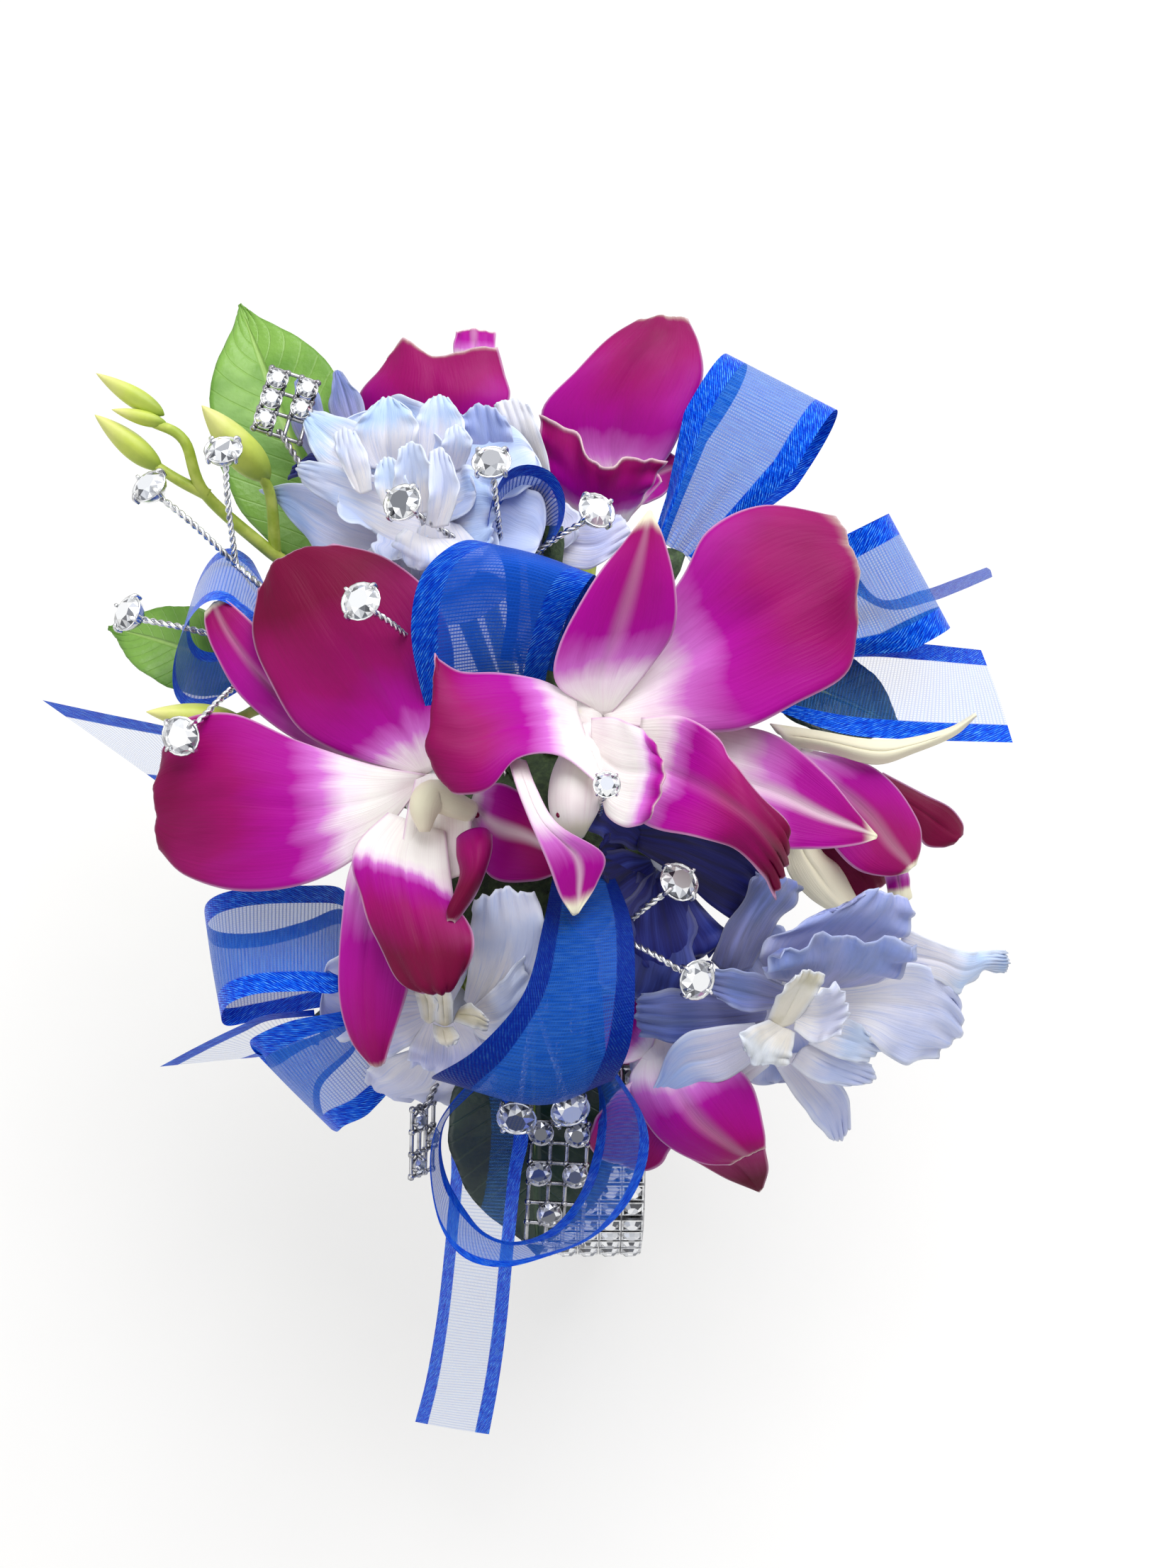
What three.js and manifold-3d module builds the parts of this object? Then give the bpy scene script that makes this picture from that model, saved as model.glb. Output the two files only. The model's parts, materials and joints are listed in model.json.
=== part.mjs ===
// A wrist corsage: orchids, delphinium florets, leaves, buds, a sheer ribbon bow and
// rhinestone sprays, bound to a stretch bracelet. Millimetres, +Z up.
// The origin is the middle of the bracelet. The wrist runs along X, the flowers stand on
// top and lean towards -Y, the side from which they are looked at.
import * as THREE from 'three';
import { mergeVertices } from 'three/addons/utils/BufferGeometryUtils.js';
import Module from 'manifold-3d';

const wasm = await Module();
wasm.setup();

// Clearance kept between pieces that touch, and the smallest step kept on a trimmed edge
const clearance = 0.4;
const fineness = 0.15;

// Bracelet: a plate and evenly spaced links threaded on a flat elastic
const wristDiameter = 55;
const bandWidth = 14;
const bandThickness = 2;
const stationCount = 12;
const linkGap = 0.6;
const linkSteps = 3;
const settingRows = 3;
const settingColumns = 3;
const settingSize = 4.2;
const settingHeight = 1.4;
const settingTaper = 0.6;
const elasticWidth = 6;
const elasticThickness = 0.6;
const elasticSteps = 36;
const plateLength = 24;
const plateThickness = 2;
const plateCorner = 3;

// Bound stems: a neck tied to the plate, and a low taped mound that every stem enters
const neckDiameter = 12;
const mound = { centre: [-4, 6, 38.5], radii: [17, 17, 6.5] };

// Flowers
const petalThickness = 0.9;
const pedicelDiameter = 2.4;
const receptacleDiameter = 5;
const petalStart = 1.8;
const widePetal = 18;
const columnLength = 6;
const columnDiameter = 2.8;
const leastEdge = 0.4;
// A floret's petals and eye, the breadths and heights as shares of the petal length
const floretPetals = 5;
const floretBreadth = 0.74;
const floretRise = 28;
const floretDroop = -12;
const floretCup = 0.25;
const eyeDiameter = 0.62;
const eyeHeight = 0.4;

// Ribbon: one width all over, gathered where it enters the mound
const ribbonWidth = 16;
const narrowRibbonWidth = 10;
const ribbonThickness = 0.7;
const gatheredShare = 0.35;
const gatherRate = 1.6;
const ribbonStemDiameter = 3;

// Leaves, buds, rhinestones and the wires that carry them
const leafThickness = 0.9;
const leafStemDiameter = 2;
const leafArch = 2;
const leafFold = 0.15;
const budStemDiameter = 1.9;
const stoneDiameter = 5;
const stoneDepth = 3.6;
const wireDiameter = 1.1;
const accentWidth = 7.6;
const accentThickness = 1.2;
const accentSetting = 3.4;
const accentPitch = 3.8;

// The middle of the flower head faces up and a little towards the viewer
const headFacing = new THREE.Vector3(0, -0.29, 0.96).normalize();

const vector = (p) => new THREE.Vector3(...p);
const radians = THREE.MathUtils.degToRad;

// Half width of a petal or leaf along its length: it grows as a power of the distance
// from the base and falls as a power of the distance from the tip.
const outlines = {
  petal: [0.62, 0.4],
  sepal: [0.6, 0.85],
  lip: [0.5, 0.6],
  floret: [1.3, 0.45],
  leaf: [0.6, 0.85],
};

function outline(kind, s) {
  const [rise, fall] = outlines[kind];
  const start = 0.02;
  const curve = (x) => (x + start) ** rise * Math.max(1 - x, 0) ** fall;
  return curve(s) / curve(rise / (rise + fall));
}

// Solids

function solid(geometry) {
  geometry.deleteAttribute('normal');
  geometry.deleteAttribute('uv');
  const merged = mergeVertices(geometry, 1e-4);
  const mesh = new wasm.Mesh({
    numProp: 3,
    vertProperties: new Float32Array(merged.attributes.position.array),
    triVerts: new Uint32Array(merged.index.array),
  });
  return new wasm.Manifold(mesh);
}

function placed(geometry, matrix) {
  return solid(geometry.applyMatrix4(matrix));
}

function join(solids) {
  return solids.reduce((sum, next) => sum.add(next));
}

// A thin closed solid on both sides of a surface given as a grid of points
function sheet(grid, thickness) {
  const rows = grid.length;
  const columns = grid[0].length;
  const at = (i, j) => grid[Math.min(Math.max(i, 0), rows - 1)][Math.min(Math.max(j, 0), columns - 1)];
  const faces = [];
  const points = [];
  for (const side of [0.5, -0.5]) {
    for (let i = 0; i < rows; i += 1) {
      for (let j = 0; j < columns; j += 1) {
        const along = at(i + 1, j).clone().sub(at(i - 1, j));
        const across = at(i, j + 1).clone().sub(at(i, j - 1));
        const normal = along.cross(across).normalize();
        points.push(at(i, j).clone().addScaledVector(normal, side * thickness));
      }
    }
  }
  const top = (i, j) => i * columns + j;
  const low = (i, j) => rows * columns + i * columns + j;
  const quad = (a, b, c, d) => faces.push(a, b, c, a, c, d);
  for (let i = 0; i < rows - 1; i += 1) {
    for (let j = 0; j < columns - 1; j += 1) {
      quad(top(i, j), top(i + 1, j), top(i + 1, j + 1), top(i, j + 1));
      quad(low(i, j), low(i, j + 1), low(i + 1, j + 1), low(i + 1, j));
    }
    quad(top(i, 0), low(i, 0), low(i + 1, 0), top(i + 1, 0));
    quad(top(i, columns - 1), top(i + 1, columns - 1), low(i + 1, columns - 1), low(i, columns - 1));
  }
  for (let j = 0; j < columns - 1; j += 1) {
    quad(top(0, j), top(0, j + 1), low(0, j + 1), low(0, j));
    quad(top(rows - 1, j), low(rows - 1, j), low(rows - 1, j + 1), top(rows - 1, j + 1));
  }
  const geometry = new THREE.BufferGeometry();
  geometry.setAttribute('position', new THREE.Float32BufferAttribute(points.flatMap((p) => p.toArray()), 3));
  geometry.setIndex(faces);
  return solid(geometry);
}

function tube(points, diameter, steps = 4, sides = 5) {
  const corners = [];
  for (let k = 0; k < sides; k += 1) {
    const turn = (2 * Math.PI * k) / sides;
    corners.push(new THREE.Vector2(Math.cos(turn), Math.sin(turn)).multiplyScalar(diameter / 2));
  }
  const path = new THREE.CatmullRomCurve3(points.map((p) => p.clone()));
  return solid(new THREE.ExtrudeGeometry(new THREE.Shape(corners), { steps, extrudePath: path }));
}

function ball(centre, diameter) {
  const place = new THREE.Matrix4().makeTranslation(...centre.toArray());
  return placed(new THREE.SphereGeometry(diameter / 2, 6, 4), place);
}

// A turned shape whose axis runs from one point towards another
function turned(profile, from, towards, sides) {
  const shape = new THREE.LatheGeometry(profile.map(([r, z]) => new THREE.Vector2(r, z)), sides);
  const axis = towards.clone().sub(from).normalize();
  const turn = new THREE.Quaternion().setFromUnitVectors(new THREE.Vector3(0, 1, 0), axis);
  return placed(shape, new THREE.Matrix4().compose(from, turn, new THREE.Vector3(1, 1, 1)));
}

// The bound mound

const moundCentre = vector(mound.centre);
const moundRadii = vector(mound.radii);
const plateBottom = (wristDiameter / 2) * Math.cos(Math.PI / stationCount);
const plateTop = plateBottom + plateThickness;

// Where a stem from a point ends: just outside the mound on the way to its middle
function seat(point) {
  const way = point.clone().sub(moundCentre);
  const reach = 1 / way.clone().divide(moundRadii).length();
  const onMound = moundCentre.clone().addScaledVector(way, reach);
  return onMound.addScaledVector(way.normalize(), clearance);
}

function boundStems(grow) {
  const dome = new THREE.SphereGeometry(1, 16, 8).rotateX(Math.PI / 2);
  dome.scale(...moundRadii.clone().addScalar(grow).toArray());
  const foot = plateTop + clearance;
  const height = moundCentre.z - foot;
  const neck = new THREE.CylinderGeometry(neckDiameter / 2 + grow, neckDiameter / 2 + grow, height, 12);
  neck.rotateX(Math.PI / 2).translate(0, 0, foot + height / 2);
  return { bone: solid(neck).add(placed(dome, new THREE.Matrix4().setPosition(moundCentre))) };
}

// Flowers

// Axes of a flower: the way it faces, the way its top points and the way its right side points
function flowerAxes(facing) {
  const front = vector(facing).normalize();
  const away = new THREE.Vector3(0, 1, 0);
  const top = away.addScaledVector(front, -front.y).normalize();
  return { front, top, right: top.clone().cross(front) };
}

// A petal grows from the middle along a circular arc that starts at one angle above the
// flower's plane and ends at another. Across, it is cupped as the square of the distance
// from its midline. It can roll about its midline and sweep sideways.
function petalGrid(centre, axes, petal, rows, columns, grow) {
  const [kind, turn, length, width, rise, droop, roll, cup, sweep] = petal;
  const angle = radians(turn);
  const out = axes.top.clone().multiplyScalar(Math.cos(angle)).addScaledVector(axes.right, Math.sin(angle));
  const side = axes.front.clone().cross(out);
  const first = radians(rise);
  const bend = radians(droop - rise) || 1e-4;
  const grid = [];
  for (let i = 0; i <= rows; i += 1) {
    const s = Math.sin((Math.PI / 2) * (i / rows));
    const lean = first + bend * s;
    const reach = ((length + grow) / bend) * (Math.sin(lean) - Math.sin(first));
    const height = ((length + grow) / bend) * (Math.cos(first) - Math.cos(lean));
    const middle = centre.clone().addScaledVector(out, petalStart + reach);
    middle.addScaledVector(axes.front, height).addScaledVector(side, sweep * s * s);
    const along = out.clone().multiplyScalar(Math.cos(lean)).addScaledVector(axes.front, Math.sin(lean));
    const across = side.clone().applyAxisAngle(along, radians(roll) * s);
    const up = along.clone().cross(across);
    const half = Math.max((width / 2) * outline(kind, s), leastEdge) + grow;
    const row = [];
    for (let j = 0; j <= columns; j += 1) {
      const t = (2 * j) / columns - 1;
      const point = middle.clone().addScaledVector(across, t * half * (1 - 0.2 * cup * t * t));
      row.push(point.addScaledVector(up, cup * half * t * t));
    }
    grid.push(row);
  }
  return grid;
}

function petals(centre, axes, list, rows, grow) {
  return join(list.map((petal) => {
    const columns = petal[0] === 'lip' || petal[3] > widePetal ? 4 : 2;
    return sheet(petalGrid(centre, axes, petal, rows, columns, grow), petalThickness + 2 * grow);
  }));
}

function pedicel(centre, axes, grow) {
  const behind = centre.clone().addScaledVector(axes.front, -receptacleDiameter);
  return tube([centre, behind, seat(behind)], pedicelDiameter + 2 * grow);
}

const bloom = (flower) => (grow) => {
  const axes = flowerAxes(flower.facing);
  const centre = vector(flower.at);
  return {
    bone: pedicel(centre, axes, grow).add(ball(centre, receptacleDiameter + 2 * grow)),
    flesh: petals(centre, axes, flower.petals, flower.rows ?? 4, grow),
  };
};

// An orchid's lip and the column above it, seated in front of the receptacle
const lip = (flower) => (grow) => {
  const axes = flowerAxes(flower.facing);
  const centre = vector(flower.at);
  const root = centre.clone().addScaledVector(axes.front, receptacleDiameter / 2);
  const tip = root.clone().addScaledVector(axes.front, columnLength);
  return {
    bone: tube([root, tip], columnDiameter + 2 * grow, 2, 6),
    flesh: petals(root, axes, flower.lobes, 4, grow),
  };
};

// A floret: one whorl of petals round a cup of short inner petals, the eye
const floret = (flower) => (grow) => {
  const { size, turn } = flower;
  const axes = flowerAxes(flower.facing);
  const centre = vector(flower.at);
  const list = [];
  for (let k = 0; k < floretPetals; k += 1) {
    const angle = turn + (360 * k) / floretPetals;
    list.push(['floret', angle, size, floretBreadth * size, floretRise, floretDroop, 0, floretCup, 0]);
  }
  const wide = (eyeDiameter * size) / 2 + grow;
  const high = eyeHeight * size + grow;
  const profile = [[0, -grow], [receptacleDiameter / 2 + grow, 0], [wide, high], [0, 0.7 * high]];
  const eye = turned(profile, centre, centre.clone().add(axes.front), 6);
  return { bone: pedicel(centre, axes, grow).add(eye), flesh: petals(centre, axes, list, 3, grow) };
};

// Ribbon

// The way across a ribbon that runs in a direction, turned about that direction
function acrossRibbon(along, roll) {
  return along.clone().cross(headFacing).normalize().applyAxisAngle(along, radians(roll));
}

function ribbonRow(middle, across, width) {
  return [-0.5, 0.5].map((t) => middle.clone().addScaledVector(across, t * width));
}

// A loop of the bow leaves the mound, swells to its opening and folds back at its far end:
// the reach follows the sine of the way round, the height twice its frequency. Its two ends
// lie one on the other in the stem, a clearance apart.
const ribbonLoop = ({ from, to, opening, roll, width = ribbonWidth }) => (grow) => {
  const steps = 12;
  const start = vector(from);
  const reach = vector(to).sub(start);
  const along = reach.clone().normalize();
  const across = acrossRibbon(along, roll);
  const up = across.clone().cross(along);
  const apart = (ribbonThickness + clearance) / 2;
  const grid = [];
  for (let i = 0; i <= steps; i += 1) {
    const turn = (Math.PI * (i + 0.25)) / (steps + 0.5);
    const swell = 0.65 * opening * Math.sin(2 * turn) * Math.sin(turn) ** 0.6;
    const height = apart * Math.cos(turn) + swell;
    const middle = start.clone().addScaledVector(reach, Math.sin(turn)).addScaledVector(up, height);
    const share = gatheredShare + (1 - gatheredShare) * Math.min(1, gatherRate * Math.sin(turn));
    grid.push(ribbonRow(middle, across, width * share + 2 * grow));
  }
  const root = start.clone().addScaledVector(along, ribbonStemDiameter / 2);
  return {
    bone: ribbonStem(root, grow),
    flesh: sheet(grid, ribbonThickness + 2 * grow),
  };
};

// A loose end runs through its points, rolled about its own length, and is cut on the slant
const ribbonTail = ({ path, roll, slant, width = ribbonWidth }) => (grow) => {
  const steps = 8;
  const curve = new THREE.CatmullRomCurve3(path.map(vector));
  const grid = [];
  for (let i = 0; i <= steps; i += 1) {
    const s = i / steps;
    const along = curve.getTangent(s);
    const across = acrossRibbon(along, roll);
    const share = gatheredShare + (1 - gatheredShare) * Math.min(1, 4 * s);
    const row = ribbonRow(curve.getPoint(s), across, width * share + 2 * grow);
    if (i === steps) {
      row.forEach((point, k) => point.addScaledVector(along, slant * (k - 0.5) + grow));
    }
    grid.push(row);
  }
  return {
    bone: ribbonStem(curve.getPoint(0), grow),
    flesh: sheet(grid, ribbonThickness + 2 * grow),
  };
};

// The gathered end of a ribbon, wired and bound into the mound
function ribbonStem(root, grow) {
  const end = seat(root);
  return tube([root, end], ribbonStemDiameter + 2 * grow, 1);
}

// Leaves and buds

const leaf = ({ base, tip, width }) => (grow) => {
  const rows = 5;
  const columns = 2;
  const start = vector(base);
  const reach = vector(tip).sub(start);
  const along = reach.clone().normalize();
  const across = acrossRibbon(along, 0).negate();
  const up = along.clone().cross(across);
  const grid = [];
  for (let i = 0; i <= rows; i += 1) {
    const s = Math.sin((Math.PI / 2) * (i / rows));
    const half = Math.max((width / 2) * outline('leaf', s), leastEdge) + grow;
    const middle = start.clone().addScaledVector(reach, s).addScaledVector(up, leafArch * Math.sin(Math.PI * s));
    const row = [];
    for (let j = 0; j <= columns; j += 1) {
      const t = (2 * j) / columns - 1;
      const point = middle.clone().addScaledVector(across, t * half);
      row.push(point.addScaledVector(up, leafFold * half * Math.abs(t)));
    }
    grid.push(row);
  }
  const inside = start.clone().addScaledVector(along, leafStemDiameter);
  return {
    bone: tube([inside, start, seat(start)], leafStemDiameter + 2 * grow, 4),
    flesh: sheet(grid, leafThickness + 2 * grow),
  };
};

// A spindle-shaped bud between two points
function budSpindle(from, to, diameter, grow) {
  const length = from.distanceTo(to);
  const r = diameter / 2 + grow;
  const profile = [[0, -grow], [0.6 * r, 0], [r, 0.35 * length], [0.7 * r, 0.7 * length], [0, length + grow]];
  return turned(profile, from, to, 6);
}

const budSprig = ({ stems, buds }) => (grow) => {
  const wires = stems.map((path, k) => {
    const points = path.map(vector);
    const route = k === 0 ? [seat(points[0]), ...points] : points;
    return tube(route, budStemDiameter + 2 * grow, 6);
  });
  const heads = buds.map(({ from, to, diameter }) => budSpindle(vector(from), vector(to), diameter, grow));
  return { bone: join([...wires, ...heads]) };
};

// Rhinestones

// A stone in its cup, facing away from the point where its wire comes from
function cupStone(centre, from, grow) {
  const r = stoneDiameter / 2 + grow;
  const d = stoneDepth / 2 + grow;
  const profile = [[0, -d], [r, 0], [0.6 * r, d], [0, d]];
  const beyond = centre.clone().multiplyScalar(2).sub(from);
  return turned(profile, centre, beyond, 6);
}

// Wires twisted together up to a fork, and one wire from there to each stone
const spray = ({ fork, stones }) => (grow) => {
  const joint = vector(fork);
  const wire = wireDiameter + 2 * grow;
  const parts = [tube([seat(joint), joint], wire, 1, 4), ball(joint, 1.3 * wireDiameter + 2 * grow)];
  for (const place of stones) {
    const centre = vector(place);
    const bow = joint.clone().lerp(centre, 0.5).addScaledVector(headFacing, wireDiameter);
    parts.push(tube([joint, bow, centre], wire, 3, 4));
    parts.push(cupStone(centre, bow, grow));
  }
  return { bone: join(parts) };
};

// A strip of rhinestone mesh, two settings wide, on a wire
const accent = ({ low, high, rows }) => (grow) => {
  const start = vector(low);
  const along = vector(high).sub(start).normalize();
  const across = acrossRibbon(along, 0);
  const up = across.clone().cross(along);
  const place = new THREE.Matrix4().makeBasis(across, along, up);
  const length = rows * accentPitch;
  const middle = start.clone().addScaledVector(along, length / 2);
  const strip = new THREE.BoxGeometry(accentWidth + 2 * grow, length + 2 * grow, accentThickness + 2 * grow);
  const parts = [placed(strip, place.clone().setPosition(middle))];
  for (let row = 0; row < rows; row += 1) {
    for (const column of [-0.5, 0.5]) {
      const spot = start.clone().addScaledVector(along, (row + 0.5) * accentPitch);
      spot.addScaledVector(across, column * accentPitch).addScaledVector(up, accentThickness / 2);
      const wide = accentSetting / 2 + grow;
      const bump = new THREE.CylinderGeometry(0.6 * wide, wide, accentThickness + 2 * grow, 4);
      parts.push(placed(bump.rotateX(Math.PI / 2), place.clone().setPosition(spot)));
    }
  }
  const inside = start.clone().addScaledVector(along, accentThickness);
  parts.push(tube([seat(start), start, inside], wireDiameter + 2 * grow, 3));
  return { bone: join(parts) };
};

// The bracelet

const innerRadius = wristDiameter / 2;
const outerRadius = innerRadius + bandThickness;
const stationAngle = (2 * Math.PI) / stationCount;
const linkHalfAngle = stationAngle / 2 - linkGap / 2 / innerRadius;
const grooveDepth = elasticThickness + 2 * clearance;
const grooveHalf = elasticWidth / 2 + clearance;

// A closed outline in X and the radius, carried round the wrist axis between two angles
function ringSegment(profile, from, to, steps) {
  const count = profile.length;
  const points = [];
  const faces = [];
  for (let i = 0; i <= steps; i += 1) {
    const angle = from + ((to - from) * i) / steps;
    for (const [x, r] of profile) {
      points.push(x, -r * Math.sin(angle), r * Math.cos(angle));
    }
  }
  const caps = THREE.ShapeUtils.triangulateShape(profile.map(([x, r]) => new THREE.Vector2(x, r)), []);
  for (const [a, b, c] of caps) {
    faces.push(a, c, b);
    faces.push(steps * count + a, steps * count + b, steps * count + c);
  }
  for (let i = 0; i < steps; i += 1) {
    for (let j = 0; j < count; j += 1) {
      const a = i * count + j;
      const b = i * count + ((j + 1) % count);
      faces.push(a, b, b + count, a, b + count, a + count);
    }
  }
  const geometry = new THREE.BufferGeometry();
  geometry.setAttribute('position', new THREE.Float32BufferAttribute(points, 3));
  geometry.setIndex(faces);
  return solid(geometry);
}

const linkProfile = [
  [-bandWidth / 2, innerRadius],
  [-grooveHalf, innerRadius],
  [-grooveHalf, innerRadius + grooveDepth],
  [grooveHalf, innerRadius + grooveDepth],
  [grooveHalf, innerRadius],
  [bandWidth / 2, innerRadius],
  [bandWidth / 2, outerRadius],
  [-bandWidth / 2, outerRadius],
];

// A link: a curved back with the elastic's groove inside and rows of square settings outside
const link = (station) => () => {
  const middle = station * stationAngle;
  const parts = [ringSegment(linkProfile, middle - linkHalfAngle, middle + linkHalfAngle, linkSteps)];
  const sink = settingHeight / 3;
  for (let row = 0; row < settingRows; row += 1) {
    const angle = middle + linkHalfAngle * ((2 * row + 1) / settingRows - 1);
    for (let column = 0; column < settingColumns; column += 1) {
      const x = bandWidth * ((column + 0.5) / settingColumns - 0.5);
      const wide = settingSize / Math.SQRT2;
      const height = settingHeight + sink;
      const setting = new THREE.CylinderGeometry(wide * settingTaper, wide, height, 4, 1, false, Math.PI / 4);
      setting.rotateX(Math.PI / 2).translate(x, 0, outerRadius + height / 2 - sink);
      parts.push(placed(setting, new THREE.Matrix4().makeRotationX(angle)));
    }
  }
  return { bone: join(parts) };
};

const elastic = () => {
  const low = innerRadius + clearance;
  const high = low + elasticThickness;
  const profile = [
    [-elasticWidth / 2, low],
    [elasticWidth / 2, low],
    [elasticWidth / 2, high],
    [-elasticWidth / 2, high],
  ];
  const start = Math.asin((plateHalf + clearance) / low);
  return { bone: ringSegment(profile, start, 2 * Math.PI - start, elasticSteps) };
};

const plateHalf = innerRadius * Math.sin(stationAngle / 2) - linkGap / 2;

// The plate: flat below, where it rests on the wrist, with rounded corners
const plate = () => {
  const x = plateLength / 2;
  const y = plateHalf;
  const c = plateCorner;
  const shape = new THREE.Shape();
  shape.moveTo(-x + c, -y).lineTo(x - c, -y).absarc(x - c, -y + c, c, -Math.PI / 2, 0);
  shape.lineTo(x, y - c).absarc(x - c, y - c, c, 0, Math.PI / 2);
  shape.lineTo(-x + c, y).absarc(-x + c, y - c, c, Math.PI / 2, Math.PI);
  shape.lineTo(-x, -y + c).absarc(-x + c, -y + c, c, Math.PI, 1.5 * Math.PI);
  const body = new THREE.ExtrudeGeometry(shape, { depth: plateThickness, bevelEnabled: false, curveSegments: 4 });
  return { bone: solid(body.translate(0, 0, plateBottom)) };
};

// What each flower is made of.
// A petal: outline, turn clockwise from the flower's top, length, width, angle above the
// flower's plane at its base and at its tip, roll, cup and sideways sweep.

const orchidCentre = {
  rows: 5,
  at: [-1, 14, 56],
  facing: [0.12, -0.36, 0.92],
  petals: [
    ['sepal', 20, 26, 15, 30, -5, 0, 0.25, 0],
    ['petal', 54, 35, 27, 22, -12, 0, 0.22, 0],
    ['petal', -106, 21, 20, 52, 12, 25, 0.45, 3],
    ['sepal', 112, 35, 13, 10, -12, 0, 0.3, 0],
    ['sepal', 180, 26, 9, 35, -25, 0, 0.8, 0],
  ],
  lobes: [
    ['lip', 126, 29, 14, 42, -14, 0, 0.45, 0],
    ['petal', 96, 15, 12, 55, 20, 0, 0.5, 0],
  ],
};

const orchidLeft = {
  rows: 5,
  at: [-18, 7, 49],
  facing: [-0.12, -0.34, 0.93],
  petals: [
    ['petal', -26, 33, 22, 26, -10, 0, 0.22, 0],
    ['petal', -92, 32, 20, 18, -10, 0, 0.2, 0],
    ['sepal', -49, 35, 13, 2, -12, 0, 0.25, 0],
    ['sepal', -164, 32, 12, 12, -18, 0, 0.5, 0],
    ['sepal', 108, 19, 11, 25, -10, 0, 0.45, 0],
  ],
  lobes: [
    ['lip', 178, 23, 16, 45, -12, 0, 0.4, 0],
    ['petal', 122, 11, 8, 60, 25, 0, 0.7, 0],
  ],
};

const orchidTopLeft = {
  at: [-18, 57, 50],
  facing: [-0.1, -0.2, 0.97],
  petals: [
    ['petal', -22, 16, 14, 30, 0, 0, 0.2, 0],
    ['petal', 28, 15, 13, 30, 0, 0, 0.2, 0],
    ['sepal', 4, 18, 8, 15, 5, 0, 0.2, 0],
    ['sepal', -80, 14, 8, 15, -5, 0, 0.2, 0],
  ],
};

const orchidTop = {
  at: [1, 50, 50],
  facing: [0.05, -0.25, 0.96],
  petals: [
    ['petal', 10, 22, 23, 30, -5, 0, 0.2, 0],
    ['sepal', -60, 16, 10, -5, -15, 0, 0.25, 0],
    ['sepal', 60, 13, 9, 25, 5, 0, 0.3, 0],
  ],
  lobes: [['lip', -14, 11, 17, 70, 15, 0, 0.4, 0]],
};

const orchidRight = {
  at: [26, 16, 41],
  facing: [0.35, -0.3, 0.9],
  petals: [
    ['petal', 130, 19, 15, 20, -15, 0, 0.25, 0],
    ['petal', 100, 21, 10, 5, -10, 0, 0.35, 0],
    ['sepal', 66, 25, 7, 10, 12, 0, 0.6, -4],
    ['sepal', 172, 18, 8, 5, -15, 0, 0.5, 0],
  ],
};

const orchidLowerRight = {
  at: [8, -19, 33],
  facing: [0.1, -0.5, 0.85],
  petals: [
    ['sepal', 138, 23, 15, -8, -32, 0, 0.25, 0],
    ['petal', 195, 12, 10, -8, -32, 0, 0.25, 0],
    ['sepal', -50, 9, 8, -8, -32, 0, 0.25, 0],
  ],
};

const florets = {
  delphinium_top_left: {
    at: [-20, 42, 55], facing: [-0.25, -0.12, 0.96], size: 16, turn: 20, colour: 0x9fb9ea,
  },
  delphinium_right: {
    at: [23, -11, 33], facing: [0.3, -0.72, 0.62], size: 21, turn: 10, colour: 0x9db4ec,
  },
  delphinium_bottom: {
    at: [-16, -12, 34], facing: [-0.1, -0.75, 0.65], size: 13, turn: 0, colour: 0xb9b8ea,
  },
  delphinium_top: {
    at: [-7, 48, 54], facing: [0, -0.25, 0.95], size: 8, turn: 0, colour: 0xcfc8ee,
  },
  delphinium_centre: {
    at: [9, 1, 46], facing: [0.2, -0.5, 0.85], size: 10, turn: 0, colour: 0x2a2fb8,
  },
};

const loops = {
  ribbon_loop_centre: { from: [-12, 18, 48], to: [-8, 30, 66], opening: 12.5, roll: 8 },
  ribbon_loop_upper_right: { from: [10, 40, 49], to: [24, 60, 59], opening: 7, roll: -10 },
  ribbon_loop_right: { from: [25, 33, 43], to: [41, 41, 46], opening: 8, roll: 10 },
  ribbon_loop_left: { from: [-35, 31, 42], to: [-49, 33, 47], opening: 12.5, roll: 50 },
  ribbon_loop_lower_left: { from: [-26, -4, 33], to: [-45, -6, 33], opening: 7, roll: -12 },
  ribbon_loop_bottom_left: { from: [-25, -10, 29], to: [-33, -21, 24], opening: 12.5, roll: 60 },
  ribbon_loop_front: { from: [-3, -4, 46], to: [-4, -27, 42], opening: 10, roll: -8 },
  ribbon_loop_bottom: { from: [-3, -15, 34], to: [-7, -41, 26], opening: 22, roll: 65 },
  ribbon_loop_top: { from: [-4, 39, 55], to: [-5, 46, 62], opening: 8, roll: 75, width: narrowRibbonWidth },
};

const tails = {
  ribbon_tail_right: { path: [[23, 30, 37], [36, 29, 35], [52, 30, 33]], roll: 0, slant: 5 },
  ribbon_tail_right_thin: {
    path: [[30, 43, 47], [41, 44, 42], [51, 45, 42]], roll: 82, slant: 0, width: narrowRibbonWidth,
  },
  ribbon_tail_left: { path: [[-41, 21, 36], [-53, 23, 35], [-68, 28, 36]], roll: -58, slant: -10 },
  ribbon_tail_lower_left: { path: [[-32, -13, 29], [-41, -14, 27], [-51, -16, 25]], roll: -68, slant: -6 },
  ribbon_tail_bottom: { path: [[-12, -17.5, 29], [-14, -35, 16], [-17, -52, -6]], roll: 45, slant: -10 },
};

const leaves = {
  leaf_top_left: { base: [-32, 45, 42], tip: [-46, 80, 52], width: 19, colour: 0x5f9a3c },
  leaf_left: { base: [-43, 34, 33], tip: [-62, 40, 35], width: 11, colour: 0x5b9440 },
  leaf_bottom: { base: [-6, -13, 30], tip: [-5, -34, 12.5], width: 15, colour: 0x1f5a34 },
  leaf_right: { base: [23, 35, 32], tip: [41, 29, 27.5], width: 11, colour: 0x1f5f5a },
};

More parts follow.
